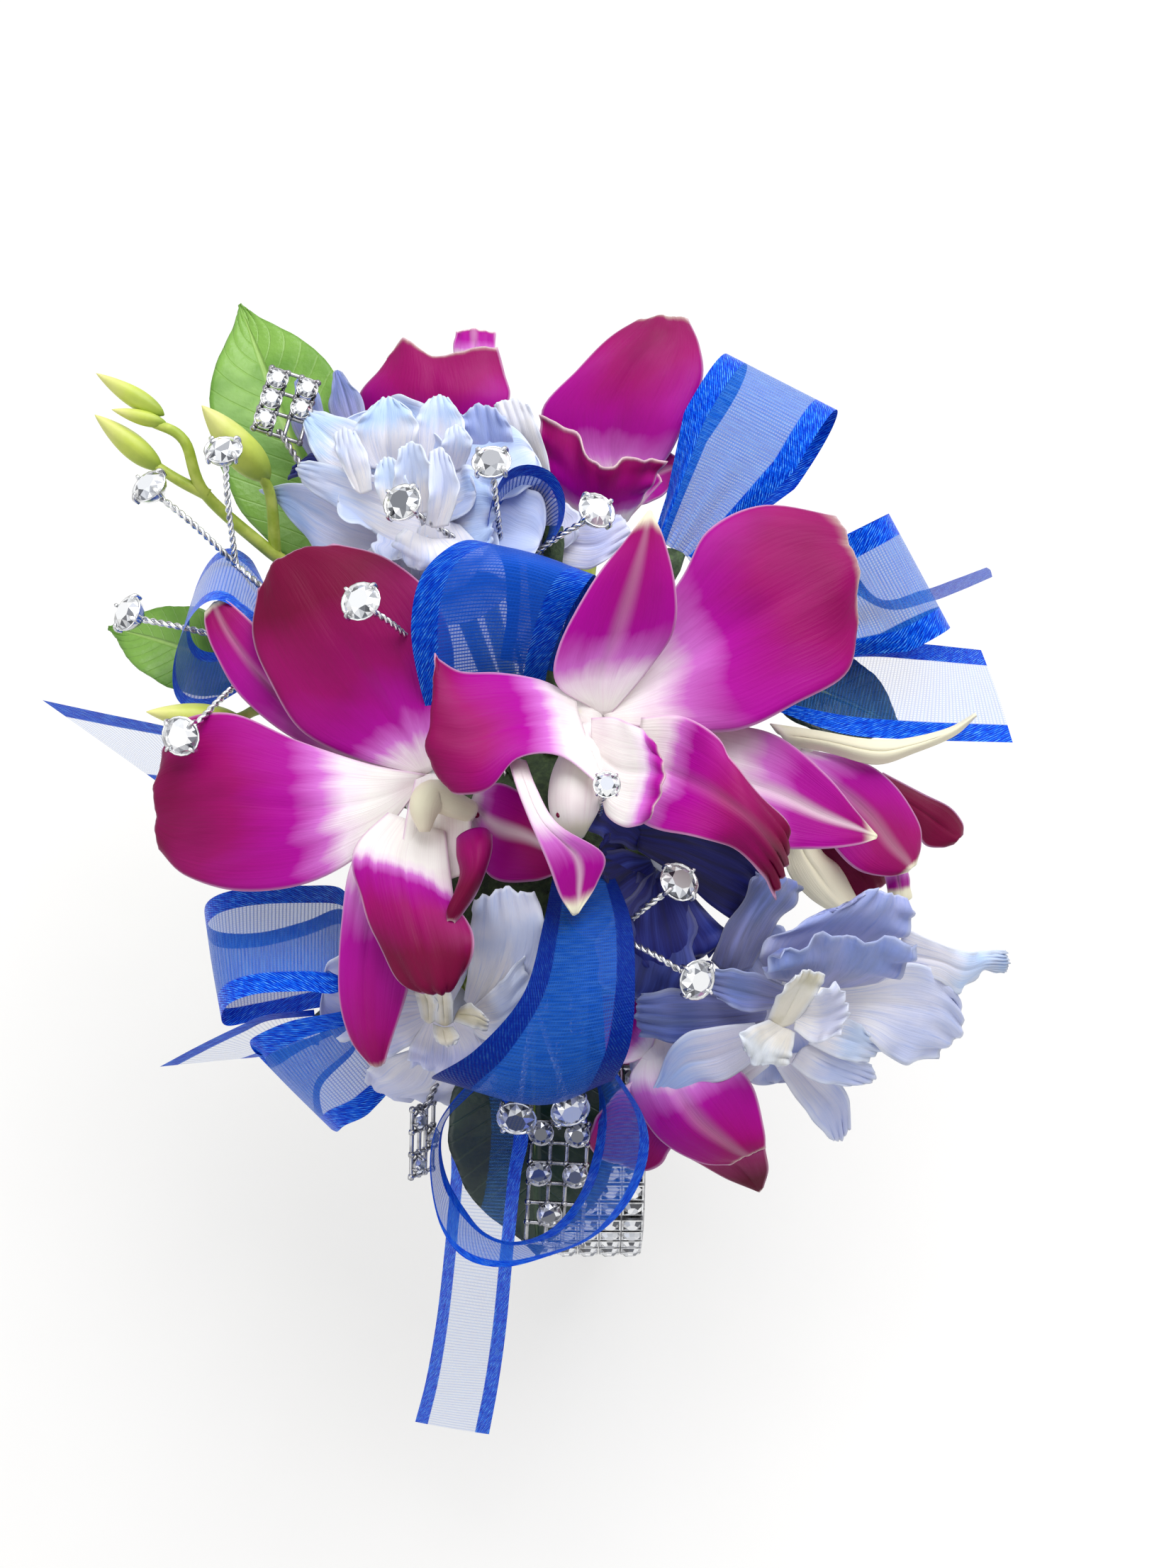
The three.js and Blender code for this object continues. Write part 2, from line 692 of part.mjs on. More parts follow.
const sprigs = {
  bud_sprig: {
    stems: [
      [[-32, 39, 42], [-40, 43, 48], [-47, 47, 54], [-49, 51, 59], [-53, 53, 60]],
      [[-39, 43, 47], [-39, 47, 53], [-40, 48, 57]],
    ],
    buds: [
      { from: [-52, 53, 60], to: [-60, 58, 63], diameter: 3 },
      { from: [-51, 52, 60], to: [-60, 52, 62], diameter: 3.4 },
      { from: [-39, 48, 55], to: [-46, 52, 64], diameter: 4.6 },
    ],
  },
  bud_single: {
    stems: [[[-37, 24, 40], [-42, 20, 45]]],
    buds: [{ from: [-41, 20, 44], to: [-52, 19, 48], diameter: 3.6 }],
  },
};

const sprays = {
  spray_left: { fork: [-43, 39, 50], stones: [[-43, 46, 63], [-52, 43, 60]] },
  spray_far_left: { fork: [-38, 29, 45], stones: [[-55, 31, 51], [-46, 12, 54]] },
  spray_top: { fork: [-10, 36, 51], stones: [[-21, 35, 67], [-11, 40, 68], [1, 37, 63]] },
  spray_upper_left: { fork: [-19, 24, 53], stones: [[-25, 22, 66]] },
  spray_upper_right: { fork: [6, 25, 47], stones: [[11, 27, 56]] },
  spray_centre: { fork: [1, 4, 48], stones: [[2, 1, 63]] },
  spray_front: { fork: [3, -7, 42], stones: [[10, -5, 51], [12, -14, 45]] },
  spray_bottom: { fork: [-6, -13, 36], stones: [[-8, -26, 34], [-2, -25, 34]] },
};

const accents = {
  accent_top_left: { low: [-38, 52, 58], high: [-36, 61, 60], rows: 2 },
  accent_bottom: { low: [-3, -24, 32], high: [-4, -37, 22], rows: 4 },
  accent_bottom_left: { low: [-22, -22, 28], high: [-23, -30, 23], rows: 2 },
};

// Pieces in order: where two soft pieces would meet, the later one gives way

const silver = { color: 0xc9ccd2, roughness: 0.25, metalness: 1 };
const petalFinish = (color) => ({ color, roughness: 0.6, metalness: 0 });
const ribbonFinish = { color: 0x1a4fd0, roughness: 0.4, metalness: 0 };
const leafFinish = (color) => ({ color, roughness: 0.45, metalness: 0 });
const budFinish = { color: 0xb9c455, roughness: 0.5, metalness: 0 };

const pieces = [
  { name: 'mount_plate', make: plate, finish: silver },
  { name: 'elastic_band', make: elastic, finish: { color: 0xe8e8ea, roughness: 0.7, metalness: 0 } },
  { name: 'bound_stems', make: boundStems, finish: { color: 0x4f7a3a, roughness: 0.8, metalness: 0 } },
  { name: 'orchid_centre_tepals', make: bloom(orchidCentre), finish: petalFinish(0xb0148c) },
  { name: 'orchid_centre_lip', make: lip(orchidCentre), finish: petalFinish(0xa80e7a) },
  { name: 'orchid_left_tepals', make: bloom(orchidLeft), finish: petalFinish(0xa8127f) },
  { name: 'orchid_left_lip', make: lip(orchidLeft), finish: petalFinish(0x9d0f70) },
  { name: 'orchid_top_tepals', make: bloom(orchidTop), finish: petalFinish(0xab1485) },
  { name: 'orchid_top_lip', make: lip(orchidTop), finish: petalFinish(0xa01078) },
  { name: 'orchid_top_left', make: bloom(orchidTopLeft), finish: petalFinish(0x9b1268) },
  { name: 'orchid_right', make: bloom(orchidRight), finish: petalFinish(0x9f1270) },
  { name: 'orchid_lower_right', make: bloom(orchidLowerRight), finish: petalFinish(0xa01474) },
];

for (let station = 1; station < stationCount; station += 1) {
  const name = `bracelet_link_${String(station).padStart(2, '0')}`;
  pieces.push({ name, make: link(station), finish: silver });
}
for (const [name, data] of Object.entries(florets)) {
  pieces.push({ name, make: floret(data), finish: petalFinish(data.colour) });
}
for (const [name, data] of Object.entries(loops)) {
  pieces.push({ name, make: ribbonLoop(data), finish: ribbonFinish });
}
for (const [name, data] of Object.entries(tails)) {
  pieces.push({ name, make: ribbonTail(data), finish: ribbonFinish });
}
for (const [name, data] of Object.entries(leaves)) {
  pieces.push({ name, make: leaf(data), finish: leafFinish(data.colour) });
}
for (const [name, data] of Object.entries(sprigs)) {
  pieces.push({ name, make: budSprig(data), finish: budFinish });
}
for (const [name, data] of Object.entries(sprays)) {
  pieces.push({ name, make: spray(data), finish: silver });
}
for (const [name, data] of Object.entries(accents)) {
  pieces.push({ name, make: accent(data), finish: silver });
}

// Fitting: each piece has a firm part, such as a stem or a setting, and may have a soft
// part, such as petals or ribbon. Soft parts give way to every other piece's firm part and
// to the soft parts of the pieces before them. Firm parts give way to firm parts before them.

for (const piece of pieces) {
  piece.real = piece.make(0);
  piece.room = piece.make(clearance);
}

const overlaps = (a, b) => {
  const p = a.boundingBox();
  const q = b.boundingBox();
  return [0, 1, 2].every((k) => p.min[k] < q.max[k] && q.min[k] < p.max[k]);
};

function cut(shape, rooms) {
  return rooms.filter((room) => overlaps(shape, room)).reduce((left, room) => left.subtract(room), shape);
}

function fitted(index) {
  const { real } = pieces[index];
  const before = pieces.slice(0, index);
  const others = pieces.filter((piece, k) => k !== index);
  const firm = cut(real.bone, before.map((piece) => piece.room.bone));
  if (!real.flesh) {
    return firm;
  }
  const softBefore = before.filter((piece) => piece.room.flesh).map((piece) => piece.room.flesh);
  const soft = cut(real.flesh, [...others.map((piece) => piece.room.bone), ...softBefore]);
  return firm.add(soft);
}

// The largest connected body of a solid
function mainBody(shape) {
  const bodies = shape.simplify(fineness).decompose();
  return bodies.reduce((best, body) => (body.volume() > best.volume() ? body : best));
}

function toGeometry(shape) {
  const { vertProperties, triVerts } = shape.getMesh();
  const geometry = new THREE.BufferGeometry();
  geometry.setAttribute('position', new THREE.Float32BufferAttribute(vertProperties, 3));
  geometry.setIndex(Array.from(triVerts));
  geometry.computeVertexNormals();
  return geometry;
}

const corsage = new THREE.Group();
pieces.forEach((piece, index) => {
  const material = new THREE.MeshStandardMaterial(piece.finish);
  const mesh = new THREE.Mesh(toGeometry(mainBody(fitted(index))), material);
  mesh.name = piece.name;
  corsage.add(mesh);
});

export default corsage;
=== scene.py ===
import bpy
import json
import numpy as np
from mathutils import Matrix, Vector

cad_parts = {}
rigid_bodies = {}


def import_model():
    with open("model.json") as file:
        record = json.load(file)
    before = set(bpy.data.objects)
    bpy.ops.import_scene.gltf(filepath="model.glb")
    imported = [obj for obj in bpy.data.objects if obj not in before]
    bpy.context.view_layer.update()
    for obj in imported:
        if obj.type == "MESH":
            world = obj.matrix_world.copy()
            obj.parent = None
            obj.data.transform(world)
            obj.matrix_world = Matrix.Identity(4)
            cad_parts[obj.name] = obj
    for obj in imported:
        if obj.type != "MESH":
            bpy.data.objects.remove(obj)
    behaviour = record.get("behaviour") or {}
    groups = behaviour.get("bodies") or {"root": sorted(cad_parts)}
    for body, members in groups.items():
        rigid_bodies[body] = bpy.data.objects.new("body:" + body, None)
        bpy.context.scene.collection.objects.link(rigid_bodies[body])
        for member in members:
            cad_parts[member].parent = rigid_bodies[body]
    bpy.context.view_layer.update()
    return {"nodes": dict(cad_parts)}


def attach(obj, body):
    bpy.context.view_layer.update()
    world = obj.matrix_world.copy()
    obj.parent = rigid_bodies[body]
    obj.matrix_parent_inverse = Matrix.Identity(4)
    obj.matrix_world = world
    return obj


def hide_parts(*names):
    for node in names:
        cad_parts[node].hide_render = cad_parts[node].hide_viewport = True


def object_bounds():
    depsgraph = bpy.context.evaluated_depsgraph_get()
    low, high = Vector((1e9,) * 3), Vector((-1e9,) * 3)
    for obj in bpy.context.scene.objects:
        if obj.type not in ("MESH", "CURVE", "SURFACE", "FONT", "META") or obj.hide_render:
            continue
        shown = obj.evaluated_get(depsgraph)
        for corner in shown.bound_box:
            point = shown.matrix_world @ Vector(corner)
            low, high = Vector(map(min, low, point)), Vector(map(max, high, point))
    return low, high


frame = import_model()
scene = bpy.context.scene
scene.view_settings.view_transform = "Standard"
mm = 0.001  # pieces are worked out in millimetres and made in metres
plainTone = (0, 0, 0)  # for a part that takes its material as it is

print("frame loaded:", len(frame["nodes"]), "nodes")


# vectors of length 1
def unit(v):
    v = np.asarray(v, float)
    return v / np.maximum(np.linalg.norm(v, axis=-1, keepdims=True), 1e-9)


# a vector turned about a unit axis by some degrees
def turned(v, axis, degrees):
    a = np.radians(degrees)
    c, s = np.cos(a), np.sin(a)
    return v * c + np.cross(axis, v) * s + axis * np.sum(axis * v, -1, keepdims=True) * (1 - c)


# 0 below low, 1 above high, smooth between them
def ease(x, low, high):
    x = np.clip((x - low) / (high - low), 0, 1)
    return x * x * (3 - 2 * x)


# a smooth curve through points, count points long
def curveThrough(points, count):
    p = np.asarray(points, float)
    q = np.vstack([2 * p[0] - p[1], p, 2 * p[-1] - p[-2]])
    x = np.linspace(0, len(p) - 1, count)
    i = np.minimum(x.astype(int), len(p) - 2)
    f = (x - i)[:, None]
    a, b, c, d = q[i], q[i + 1], q[i + 2], q[i + 3]
    return 0.5 * (2 * b + (c - a) * f + (2 * a - 5 * b + 4 * c - d) * f**2 + (3 * b - a - 3 * c + d) * f**3)


# a smooth surface through a net of points
def throughNet(net, rows, columns):
    k, n = net.shape[:2]
    grid = curveThrough(net.reshape(k, -1), rows).reshape(rows, n, 3).swapaxes(0, 1)
    return curveThrough(grid.reshape(n, -1), columns).reshape(columns, rows, 3).swapaxes(0, 1)


# how far along a path each of its points lies
def distanceAlong(path):
    steps = np.linalg.norm(np.diff(path, axis=0), axis=1)
    return np.concatenate([[0], np.cumsum(steps)])


# two unit vectors square to a direction, right-handed with it
def squareTo(direction):
    d = unit(direction)
    mean = np.abs(np.mean(np.atleast_2d(d), axis=0))
    helper = np.eye(3)[np.argmin(mean)]
    u = unit(np.cross(d, helper))
    return u, np.cross(d, u)


# the normal of a grid: its step down the rows crossed with its step along the columns
def gridNormal(grid):
    return unit(np.cross(np.gradient(grid, axis=0), np.gradient(grid, axis=1)))


# the point numbers of a grid, and the four corners of each of its cells
def gridFaces(rows, columns):
    index = np.arange(rows * columns).reshape(rows, columns)
    corners = [index[:-1, :-1], index[1:, :-1], index[1:, 1:], index[:-1, 1:]]
    return index, np.stack(corners, -1).reshape(-1, 4)


# a closed thin sheet: a grid moved half its thickness along its normal to both sides, and a rim
def sheetPart(grid, thick, place, tone=plainTone, front=0, back=1):
    rows, columns = grid.shape[:2]
    count = rows * columns
    index, face = gridFaces(rows, columns)
    half = gridNormal(grid) * (np.broadcast_to(thick, (rows, columns))[..., None] / 2)
    ring = np.concatenate([index[:, 0], index[-1, 1:], index[-2::-1, -1], index[0, -2:0:-1]])
    after = np.roll(ring, -1)
    rim = np.stack([after, ring, ring + count, after + count], -1)
    return dict(verts=np.concatenate([(grid + half).reshape(-1, 3), (grid - half).reshape(-1, 3)]),
                faces=[(face, front), (face[:, ::-1] + count, back), (rim, front)],
                place=np.concatenate([place.reshape(-1, 3)] * 2), tone=tone, smooth=True)


# an open sheet: the grid alone
def clothPart(grid, place, tone):
    face = gridFaces(*grid.shape[:2])[1]
    return dict(verts=grid.reshape(-1, 3), faces=[(face, 0)], place=place.reshape(-1, 3),
                tone=tone, smooth=True)


# a closed skin over a row of rings, with a flat face on each end; its place is 0 to 1 along it,
# -1 to 1 round it, and far from any rim
def ringsPart(rings, material=0, tone=plainTone, smooth=True, farFromRim=2):
    rows, sides = rings.shape[:2]
    index = np.arange(rows * sides).reshape(rows, sides)
    side = np.roll(index, -1, axis=1)
    wall = np.stack([index[:-1], side[:-1], side[1:], index[1:]], -1).reshape(-1, 4)
    s, t = np.meshgrid(np.linspace(0, 1, rows), np.linspace(-1, 1, sides), indexing="ij")
    return dict(verts=rings.reshape(-1, 3),
                faces=[(wall, material), (index[:1, ::-1], material), (index[-1:], material)],
                place=np.stack([s, t, 0 * s + farFromRim], -1).reshape(-1, 3), tone=tone, smooth=smooth)


# circles of given radii carried along a path
def tubePart(path, radius, sides=8, material=0, tone=plainTone):
    path = np.asarray(path, float)
    u, v = squareTo(np.gradient(path, axis=0))
    q = np.linspace(0, 2 * np.pi, sides, endpoint=False)[None, :, None]
    r = np.broadcast_to(radius, len(path))[:, None, None]
    return ringsPart(path[:, None] + r * (u[:, None] * np.cos(q) + v[:, None] * np.sin(q)), material, tone)


# a profile of (radius, height) pairs turned about an axis
def turnedPart(profile, base, axis, sides=20, material=0, tone=plainTone, smooth=True, start=0.0):
    profile = np.asarray(profile, float)
    axis = unit(axis)
    u, v = squareTo(axis)
    q = (start + np.linspace(0, 2 * np.pi, sides, endpoint=False))[None, :, None]
    radius, height = profile[:, 0][:, None, None], profile[:, 1][:, None, None]
    rings = np.asarray(base, float) + height * axis + radius * (u * np.cos(q) + v * np.sin(q))
    return ringsPart(rings, material, tone, smooth)


# one object from parts, with its place and tone kept on the points for the materials
def makePiece(name, parts, materials, body="head", nodes=()):
    verts = np.concatenate([p["verts"] for p in parts]) * mm
    faces, kinds, smooth, start = [], [], [], 0
    for p in parts:
        for block, kind in p["faces"]:
            faces += (block + start).tolist()
            kinds.append(np.full(len(block), kind))
            smooth.append(np.full(len(block), p["smooth"]))
        start += len(p["verts"])
    mesh = bpy.data.meshes.new(name)
    mesh.from_pydata(verts.tolist(), [], faces)
    mesh.polygons.foreach_set("material_index", np.concatenate(kinds).astype(np.int32))
    mesh.polygons.foreach_set("use_smooth", np.concatenate(smooth))
    place = np.concatenate([p["place"] for p in parts])
    tone = np.concatenate([np.broadcast_to(p["tone"], (len(p["verts"]), 3)) for p in parts])
    for label, values in (("place", place), ("tone", tone)):
        field = mesh.attributes.new(label, "FLOAT_VECTOR", "POINT")
        field.data.foreach_set("vector", np.ascontiguousarray(values, np.float32).ravel())
    for material in materials:
        mesh.materials.append(material)
    mesh.update()
    piece = bpy.data.objects.new(name, mesh)
    scene.collection.objects.link(piece)
    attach(piece, body)
    if nodes:
        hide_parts(*nodes)
    return piece


# a colour given as 0-255 display values, as the shader's linear values
def colour(r, g, b):
    c = np.array([r, g, b]) / 255
    c = np.where(c <= 0.04045, c / 12.92, ((c + 0.055) / 1.055) ** 2.4)
    return (*[float(x) for x in c], 1.0)


# a material, its nodes and its shader, with some of the shader's sockets set
def newMaterial(name, **values):
    material = bpy.data.materials.new(name)
    material.use_nodes = True
    shader = material.node_tree.nodes["Principled BSDF"]
    for key, value in values.items():
        shader.inputs[key].default_value = value
    return material, material.node_tree, shader


# a node with its inputs linked or set, giving back one output
def add(tree, kind, inputs=(), output=0, **settings):
    node = tree.nodes.new("ShaderNode" + kind)
    for key, value in settings.items():
        setattr(node, key, value)
    for key, value in (inputs.items() if isinstance(inputs, dict) else enumerate(inputs)):
        if isinstance(value, bpy.types.NodeSocket):
            tree.links.new(value, node.inputs[key])
        else:
            node.inputs[key].default_value = value
    return node.outputs[output]


# a value linked into one of the shader's sockets
def feed(tree, shader, socket, value):
    tree.links.new(value, shader.inputs[socket])


def sums(tree, operation, a, b=0.0, c=0.0):
    return add(tree, "Math", [a, b, c], operation=operation)


def times(tree, a, b):
    return sums(tree, "MULTIPLY", a, b)


def sineOf(tree, value, rate):
    return sums(tree, "SINE", times(tree, value, rate))


# a value's smooth step from low to high, as a number that goes from one of a pair to the other
def smoothly(tree, value, low, high, to=(0.0, 1.0)):
    return add(tree, "MapRange", {0: value, 1: low, 2: high, 3: to[0], 4: to[1]},
               interpolation_type="SMOOTHSTEP")


def blendColour(tree, share, a, b, kind="MIX"):
    return add(tree, "Mix", {0: share, 6: a, 7: b}, 2, data_type="RGBA", blend_type=kind)


def ramp(tree, value, stops):
    node = tree.nodes.new("ShaderNodeValToRGB")
    tree.links.new(value, node.inputs[0])
    band = node.color_ramp.elements
    for k, (position, shade) in enumerate(stops):
        element = band[k] if k < 2 else band.new(position)
        element.position, element.color = position, shade
    return node.outputs[0]


# the x, y and z of a field kept on the points
def fieldParts(tree, label):
    vector = add(tree, "Attribute", (), 1, attribute_name=label)
    node = tree.nodes.new("ShaderNodeSeparateXYZ")
    tree.links.new(vector, node.inputs[0])
    return node.outputs[0], node.outputs[1], node.outputs[2]


def objectPlace(tree):
    return add(tree, "TexCoord", (), 3)


# two fields side by side as a flat place, each stretched by its own rate
def flatPlace(tree, x, y, xRate, yRate):
    return add(tree, "CombineXYZ", [times(tree, x, xRate), times(tree, y, yRate), 0.0])


def noise(tree, vector, scale, detail=3.0, rough=0.5):
    return add(tree, "TexNoise", {"Vector": vector, "Scale": scale, "Detail": detail, "Roughness": rough})


def bump(tree, shader, height, strength, distance):
    out = add(tree, "Bump", {"Height": height, "Strength": strength, "Distance": distance})
    feed(tree, shader, "Normal", out)


# long streaks down a petal: noise stretched along its length, shifted by where the petal is
def streaks(tree, s, t, across, along):
    drift = add(tree, "VectorMath", [objectPlace(tree), (90, 90, 90)], operation="MULTIPLY")
    joined = add(tree, "VectorMath", [flatPlace(tree, t, s, across, along), drift], operation="ADD")
    return noise(tree, joined, scale=1.0, detail=4.0, rough=0.6)


# orchid petal: white at the throat (tone x says how far), then through the stops to the tip, with a
# pale rim and fine veins; tone y above 0 gives a cream tip and below 0 hurries the stops, and tone z
# gives a pale midrib
def orchidMaterial(name, stops, rim, shade, roughness):
    cream, ribPale = (0.86, 0.82, 0.62, 1.0), (0.85, 0.74, 0.78, 1.0)
    material, tree, shader = newMaterial(name, **{"Roughness": roughness, "Specular IOR Level": 0.13})
    s, t, edge = fieldParts(tree, "place")
    throat, tip, rib = fieldParts(tree, "tone")
    wavy = streaks(tree, s, t, across=3.0, along=0.8)
    fine = streaks(tree, s, t, across=26.0, along=2.0)
    cloud = noise(tree, objectPlace(tree), scale=120.0, detail=2.0)
    shift = sums(tree, "MULTIPLY_ADD", wavy, 0.14, -0.07)
    way = sums(tree, "ADD", sums(tree, "SUBTRACT", s, throat), shift)
    hurry = sums(tree, "MULTIPLY_ADD", sums(tree, "MINIMUM", tip, 0.0), -1.5, 0.9)
    fromRim = smoothly(tree, edge, 0.0, 8.0, (-0.1, 0.13))
    inner = times(tree, fromRim, smoothly(tree, way, 0.15, 0.4))
    body = ramp(tree, sums(tree, "ADD", sums(tree, "MULTIPLY_ADD", way, hurry, 0.1), inner), stops)
    body = blendColour(tree, smoothly(tree, cloud, 0.42, 0.72, (0.0, 0.35)), body, shade, "MULTIPLY")
    body = blendColour(tree, smoothly(tree, fine, 0.45, 0.75, (0.0, 0.16)), body, shade, "MULTIPLY")
    nearMiddle = smoothly(tree, sums(tree, "ABSOLUTE", t), 0.02, 0.26, (1.0, 0.0))
    body = blendColour(tree, times(tree, nearMiddle, rib), body, ribPale)
    nearRim = sums(tree, "MULTIPLY_ADD", fine, 0.3, edge)
    body = blendColour(tree, smoothly(tree, nearRim, 0.12, 0.5, (0.7, 0.0)), body, rim)
    nearTip = sums(tree, "SUBTRACT", sums(tree, "ADD", s, tip), times(tree, shift, 0.5))
    body = blendColour(tree, smoothly(tree, nearTip, 0.94, 1.08), body, cream)
    feed(tree, shader, "Base Color", body)
    rougher = smoothly(tree, wavy, 0.3, 0.8, (roughness - 0.08, roughness + 0.12))
    feed(tree, shader, "Roughness", rougher)
    bump(tree, shader, sums(tree, "MULTIPLY_ADD", cloud, 0.8, fine), strength=0.22, distance=0.0004)
    return material


orchidFace = orchidMaterial("orchidFace", [
    (0.0, colour(247, 243, 240)), (0.1, colour(243, 226, 240)), (0.19, colour(206, 110, 204)),
    (0.3, colour(168, 0, 148)), (0.6, colour(150, 0, 100)), (1.0, colour(112, 0, 54))],
    rim=(0.72, 0.42, 0.66, 1.0), shade=(0.66, 0.36, 0.56, 1.0), roughness=0.46)
orchidBack = orchidMaterial("orchidBack", [
    (0.0, colour(220, 214, 196)), (0.12, colour(206, 160, 176)), (0.3, colour(168, 66, 130)),
    (0.6, colour(140, 36, 92)), (1.0, colour(92, 22, 46))],
    rim=(0.6, 0.34, 0.46, 1.0), shade=(0.6, 0.5, 0.5, 1.0), roughness=0.55)
print("orchid finishes made")


# delphinium petal: white at the base, clouded and veined, with a bright rim, mixed to lavender (tone y),
# royal blue (tone x) or cream (tone z)
def floretMaterial(name, pale, roughness):
    material, tree, shader = newMaterial(name, **{
        "Roughness": roughness, "Sheen Weight": 0.2, "Sheen Roughness": 0.4, "Specular IOR Level": 0.3})
    s, t, edge = fieldParts(tree, "place")
    deep, lavender, cream = fieldParts(tree, "tone")
    wavy = streaks(tree, s, t, across=4.0, along=1.0)
    fine = streaks(tree, s, t, across=17.0, along=2.0)
    cloud = noise(tree, objectPlace(tree), scale=190.0)
    body = blendColour(tree, lavender, pale, colour(204, 200, 232))
    white = sums(tree, "SUBTRACT", sums(tree, "MULTIPLY_ADD", wavy, 0.6, 0.2), s)
    body = blendColour(tree, smoothly(tree, white, -0.12, 0.3), body, colour(240, 238, 244))
    body = blendColour(tree, smoothly(tree, cloud, 0.45, 0.7, (0.0, 0.5)), body, colour(228, 226, 242))
    body = blendColour(tree, smoothly(tree, fine, 0.5, 0.78, (0.0, 0.42)), body, colour(128, 162, 232))
    royal = ramp(tree, sums(tree, "MULTIPLY_ADD", deep, -0.6, sums(tree, "ADD", wavy, 0.45)), [
        (0.1, colour(14, 12, 60)), (0.34, colour(24, 28, 112)), (0.7, colour(70, 88, 190))])
    body = blendColour(tree, sums(tree, "MINIMUM", deep, 1.0), body, royal)
    creams = blendColour(tree, smoothly(tree, cloud, 0.4, 0.65), colour(236, 230, 214), colour(206, 198, 168))
    body = blendColour(tree, cream, body, creams)
    nearRim = smoothly(tree, sums(tree, "MULTIPLY_ADD", fine, 0.6, edge), 0.3, 1.1, (0.55, 0.0))
    bright = times(tree, nearRim, sums(tree, "SUBTRACT", 1.1, deep))
    feed(tree, shader, "Base Color", blendColour(tree, bright, body, colour(226, 232, 246)))
    bump(tree, shader, sums(tree, "MULTIPLY_ADD", cloud, 0.9, fine), strength=0.26, distance=0.0005)
    return material


floretFace = floretMaterial("floretFace", colour(186, 212, 250), 0.5)
# the petals' backs: their own back colour, made darker and bluer as painted shade
floretBackShaded = floretMaterial("floretBackShaded", colour(140, 164, 220), 0.58)


# two shades mixed by noise, the lighter one raised
def mottledMaterial(name, roughness, dark, light, strength, distance, **grain):
    material, tree, shader = newMaterial(name, Roughness=roughness)
    spots = noise(tree, objectPlace(tree), **grain)
    feed(tree, shader, "Base Color", blendColour(tree, smoothly(tree, spots, 0.35, 0.7), dark, light))
    bump(tree, shader, spots, strength, distance)
    return material


stemMaterial = mottledMaterial("stemGreen", 0.5, colour(150, 172, 50), colour(190, 202, 92),
                               strength=0.3, distance=0.0003, scale=420.0)
tapeMaterial = mottledMaterial("stemTape", 0.7, colour(44, 62, 38), colour(82, 104, 62),
                               strength=0.7, distance=0.0005, scale=900.0, detail=5.0, rough=0.65)
leafVeins = dict(count=13.0, slant=2.6)  # side veins along a leaf, and how many they climb to its rim


# leaf: a pale midrib and slanting side veins on a blade that darkens to its rim
def leafMaterial(name, light, dark, vein, roughness):
    material, tree, shader = newMaterial(name, **{"Roughness": roughness, "Specular IOR Level": 0.45})
    s, t, edge = fieldParts(tree, "place")
    wide = sums(tree, "ABSOLUTE", t)
    cloud = noise(tree, objectPlace(tree), scale=130.0, detail=4.0)
    fine = noise(tree, objectPlace(tree), scale=1500.0, detail=2.0)
    climb = sums(tree, "SUBTRACT", times(tree, s, leafVeins["count"]), times(tree, wide, leafVeins["slant"]))
    fromVein = sums(tree, "ABSOLUTE", sums(tree, "SUBTRACT", sums(tree, "FRACT", climb), 0.5))
    sideVein = smoothly(tree, fromVein, 0.0, 0.09, (1.0, 0.0))
    midrib = smoothly(tree, wide, 0.02, 0.09, (1.0, 0.0))
    veins = sums(tree, "MAXIMUM", times(tree, sideVein, 0.22), midrib)
    body = blendColour(tree, smoothly(tree, cloud, 0.35, 0.68), light, dark)
    body = blendColour(tree, smoothly(tree, edge, 0.0, 0.9, (0.5, 0.0)), body, dark)
    feed(tree, shader, "Base Color", blendColour(tree, times(tree, veins, 0.6), body, vein))
    rougher = smoothly(tree, cloud, 0.3, 0.7, (roughness - 0.1, roughness + 0.1))
    feed(tree, shader, "Roughness", rougher)
    height = sums(tree, "MULTIPLY_ADD", veins, -1.0, times(tree, fine, 0.3))
    bump(tree, shader, height, strength=0.5, distance=0.0005)
    return material


leafLight = leafMaterial("leafLight", colour(122, 168, 68), colour(90, 138, 42), colour(160, 194, 106), 0.42)
leafDark = leafMaterial("leafDark", colour(34, 62, 46), colour(16, 34, 38), colour(66, 94, 62), 0.35)


# bud: yellow-green, paler at the tip
def budFinish(name):
    material, tree, shader = newMaterial(name, Roughness=0.45)
    s = fieldParts(tree, "place")[0]
    grain = noise(tree, objectPlace(tree), scale=500.0)
    feed(tree, shader, "Base Color", ramp(
        tree, sums(tree, "ADD", s, sums(tree, "MULTIPLY_ADD", grain, 0.4, -0.2)),
        [(0.0, colour(138, 164, 54)), (0.45, colour(190, 204, 82)), (1.0, colour(222, 220, 140))]))
    bump(tree, shader, grain, strength=0.3, distance=0.0003)
    return material


budMaterial = budFinish("budGreen")
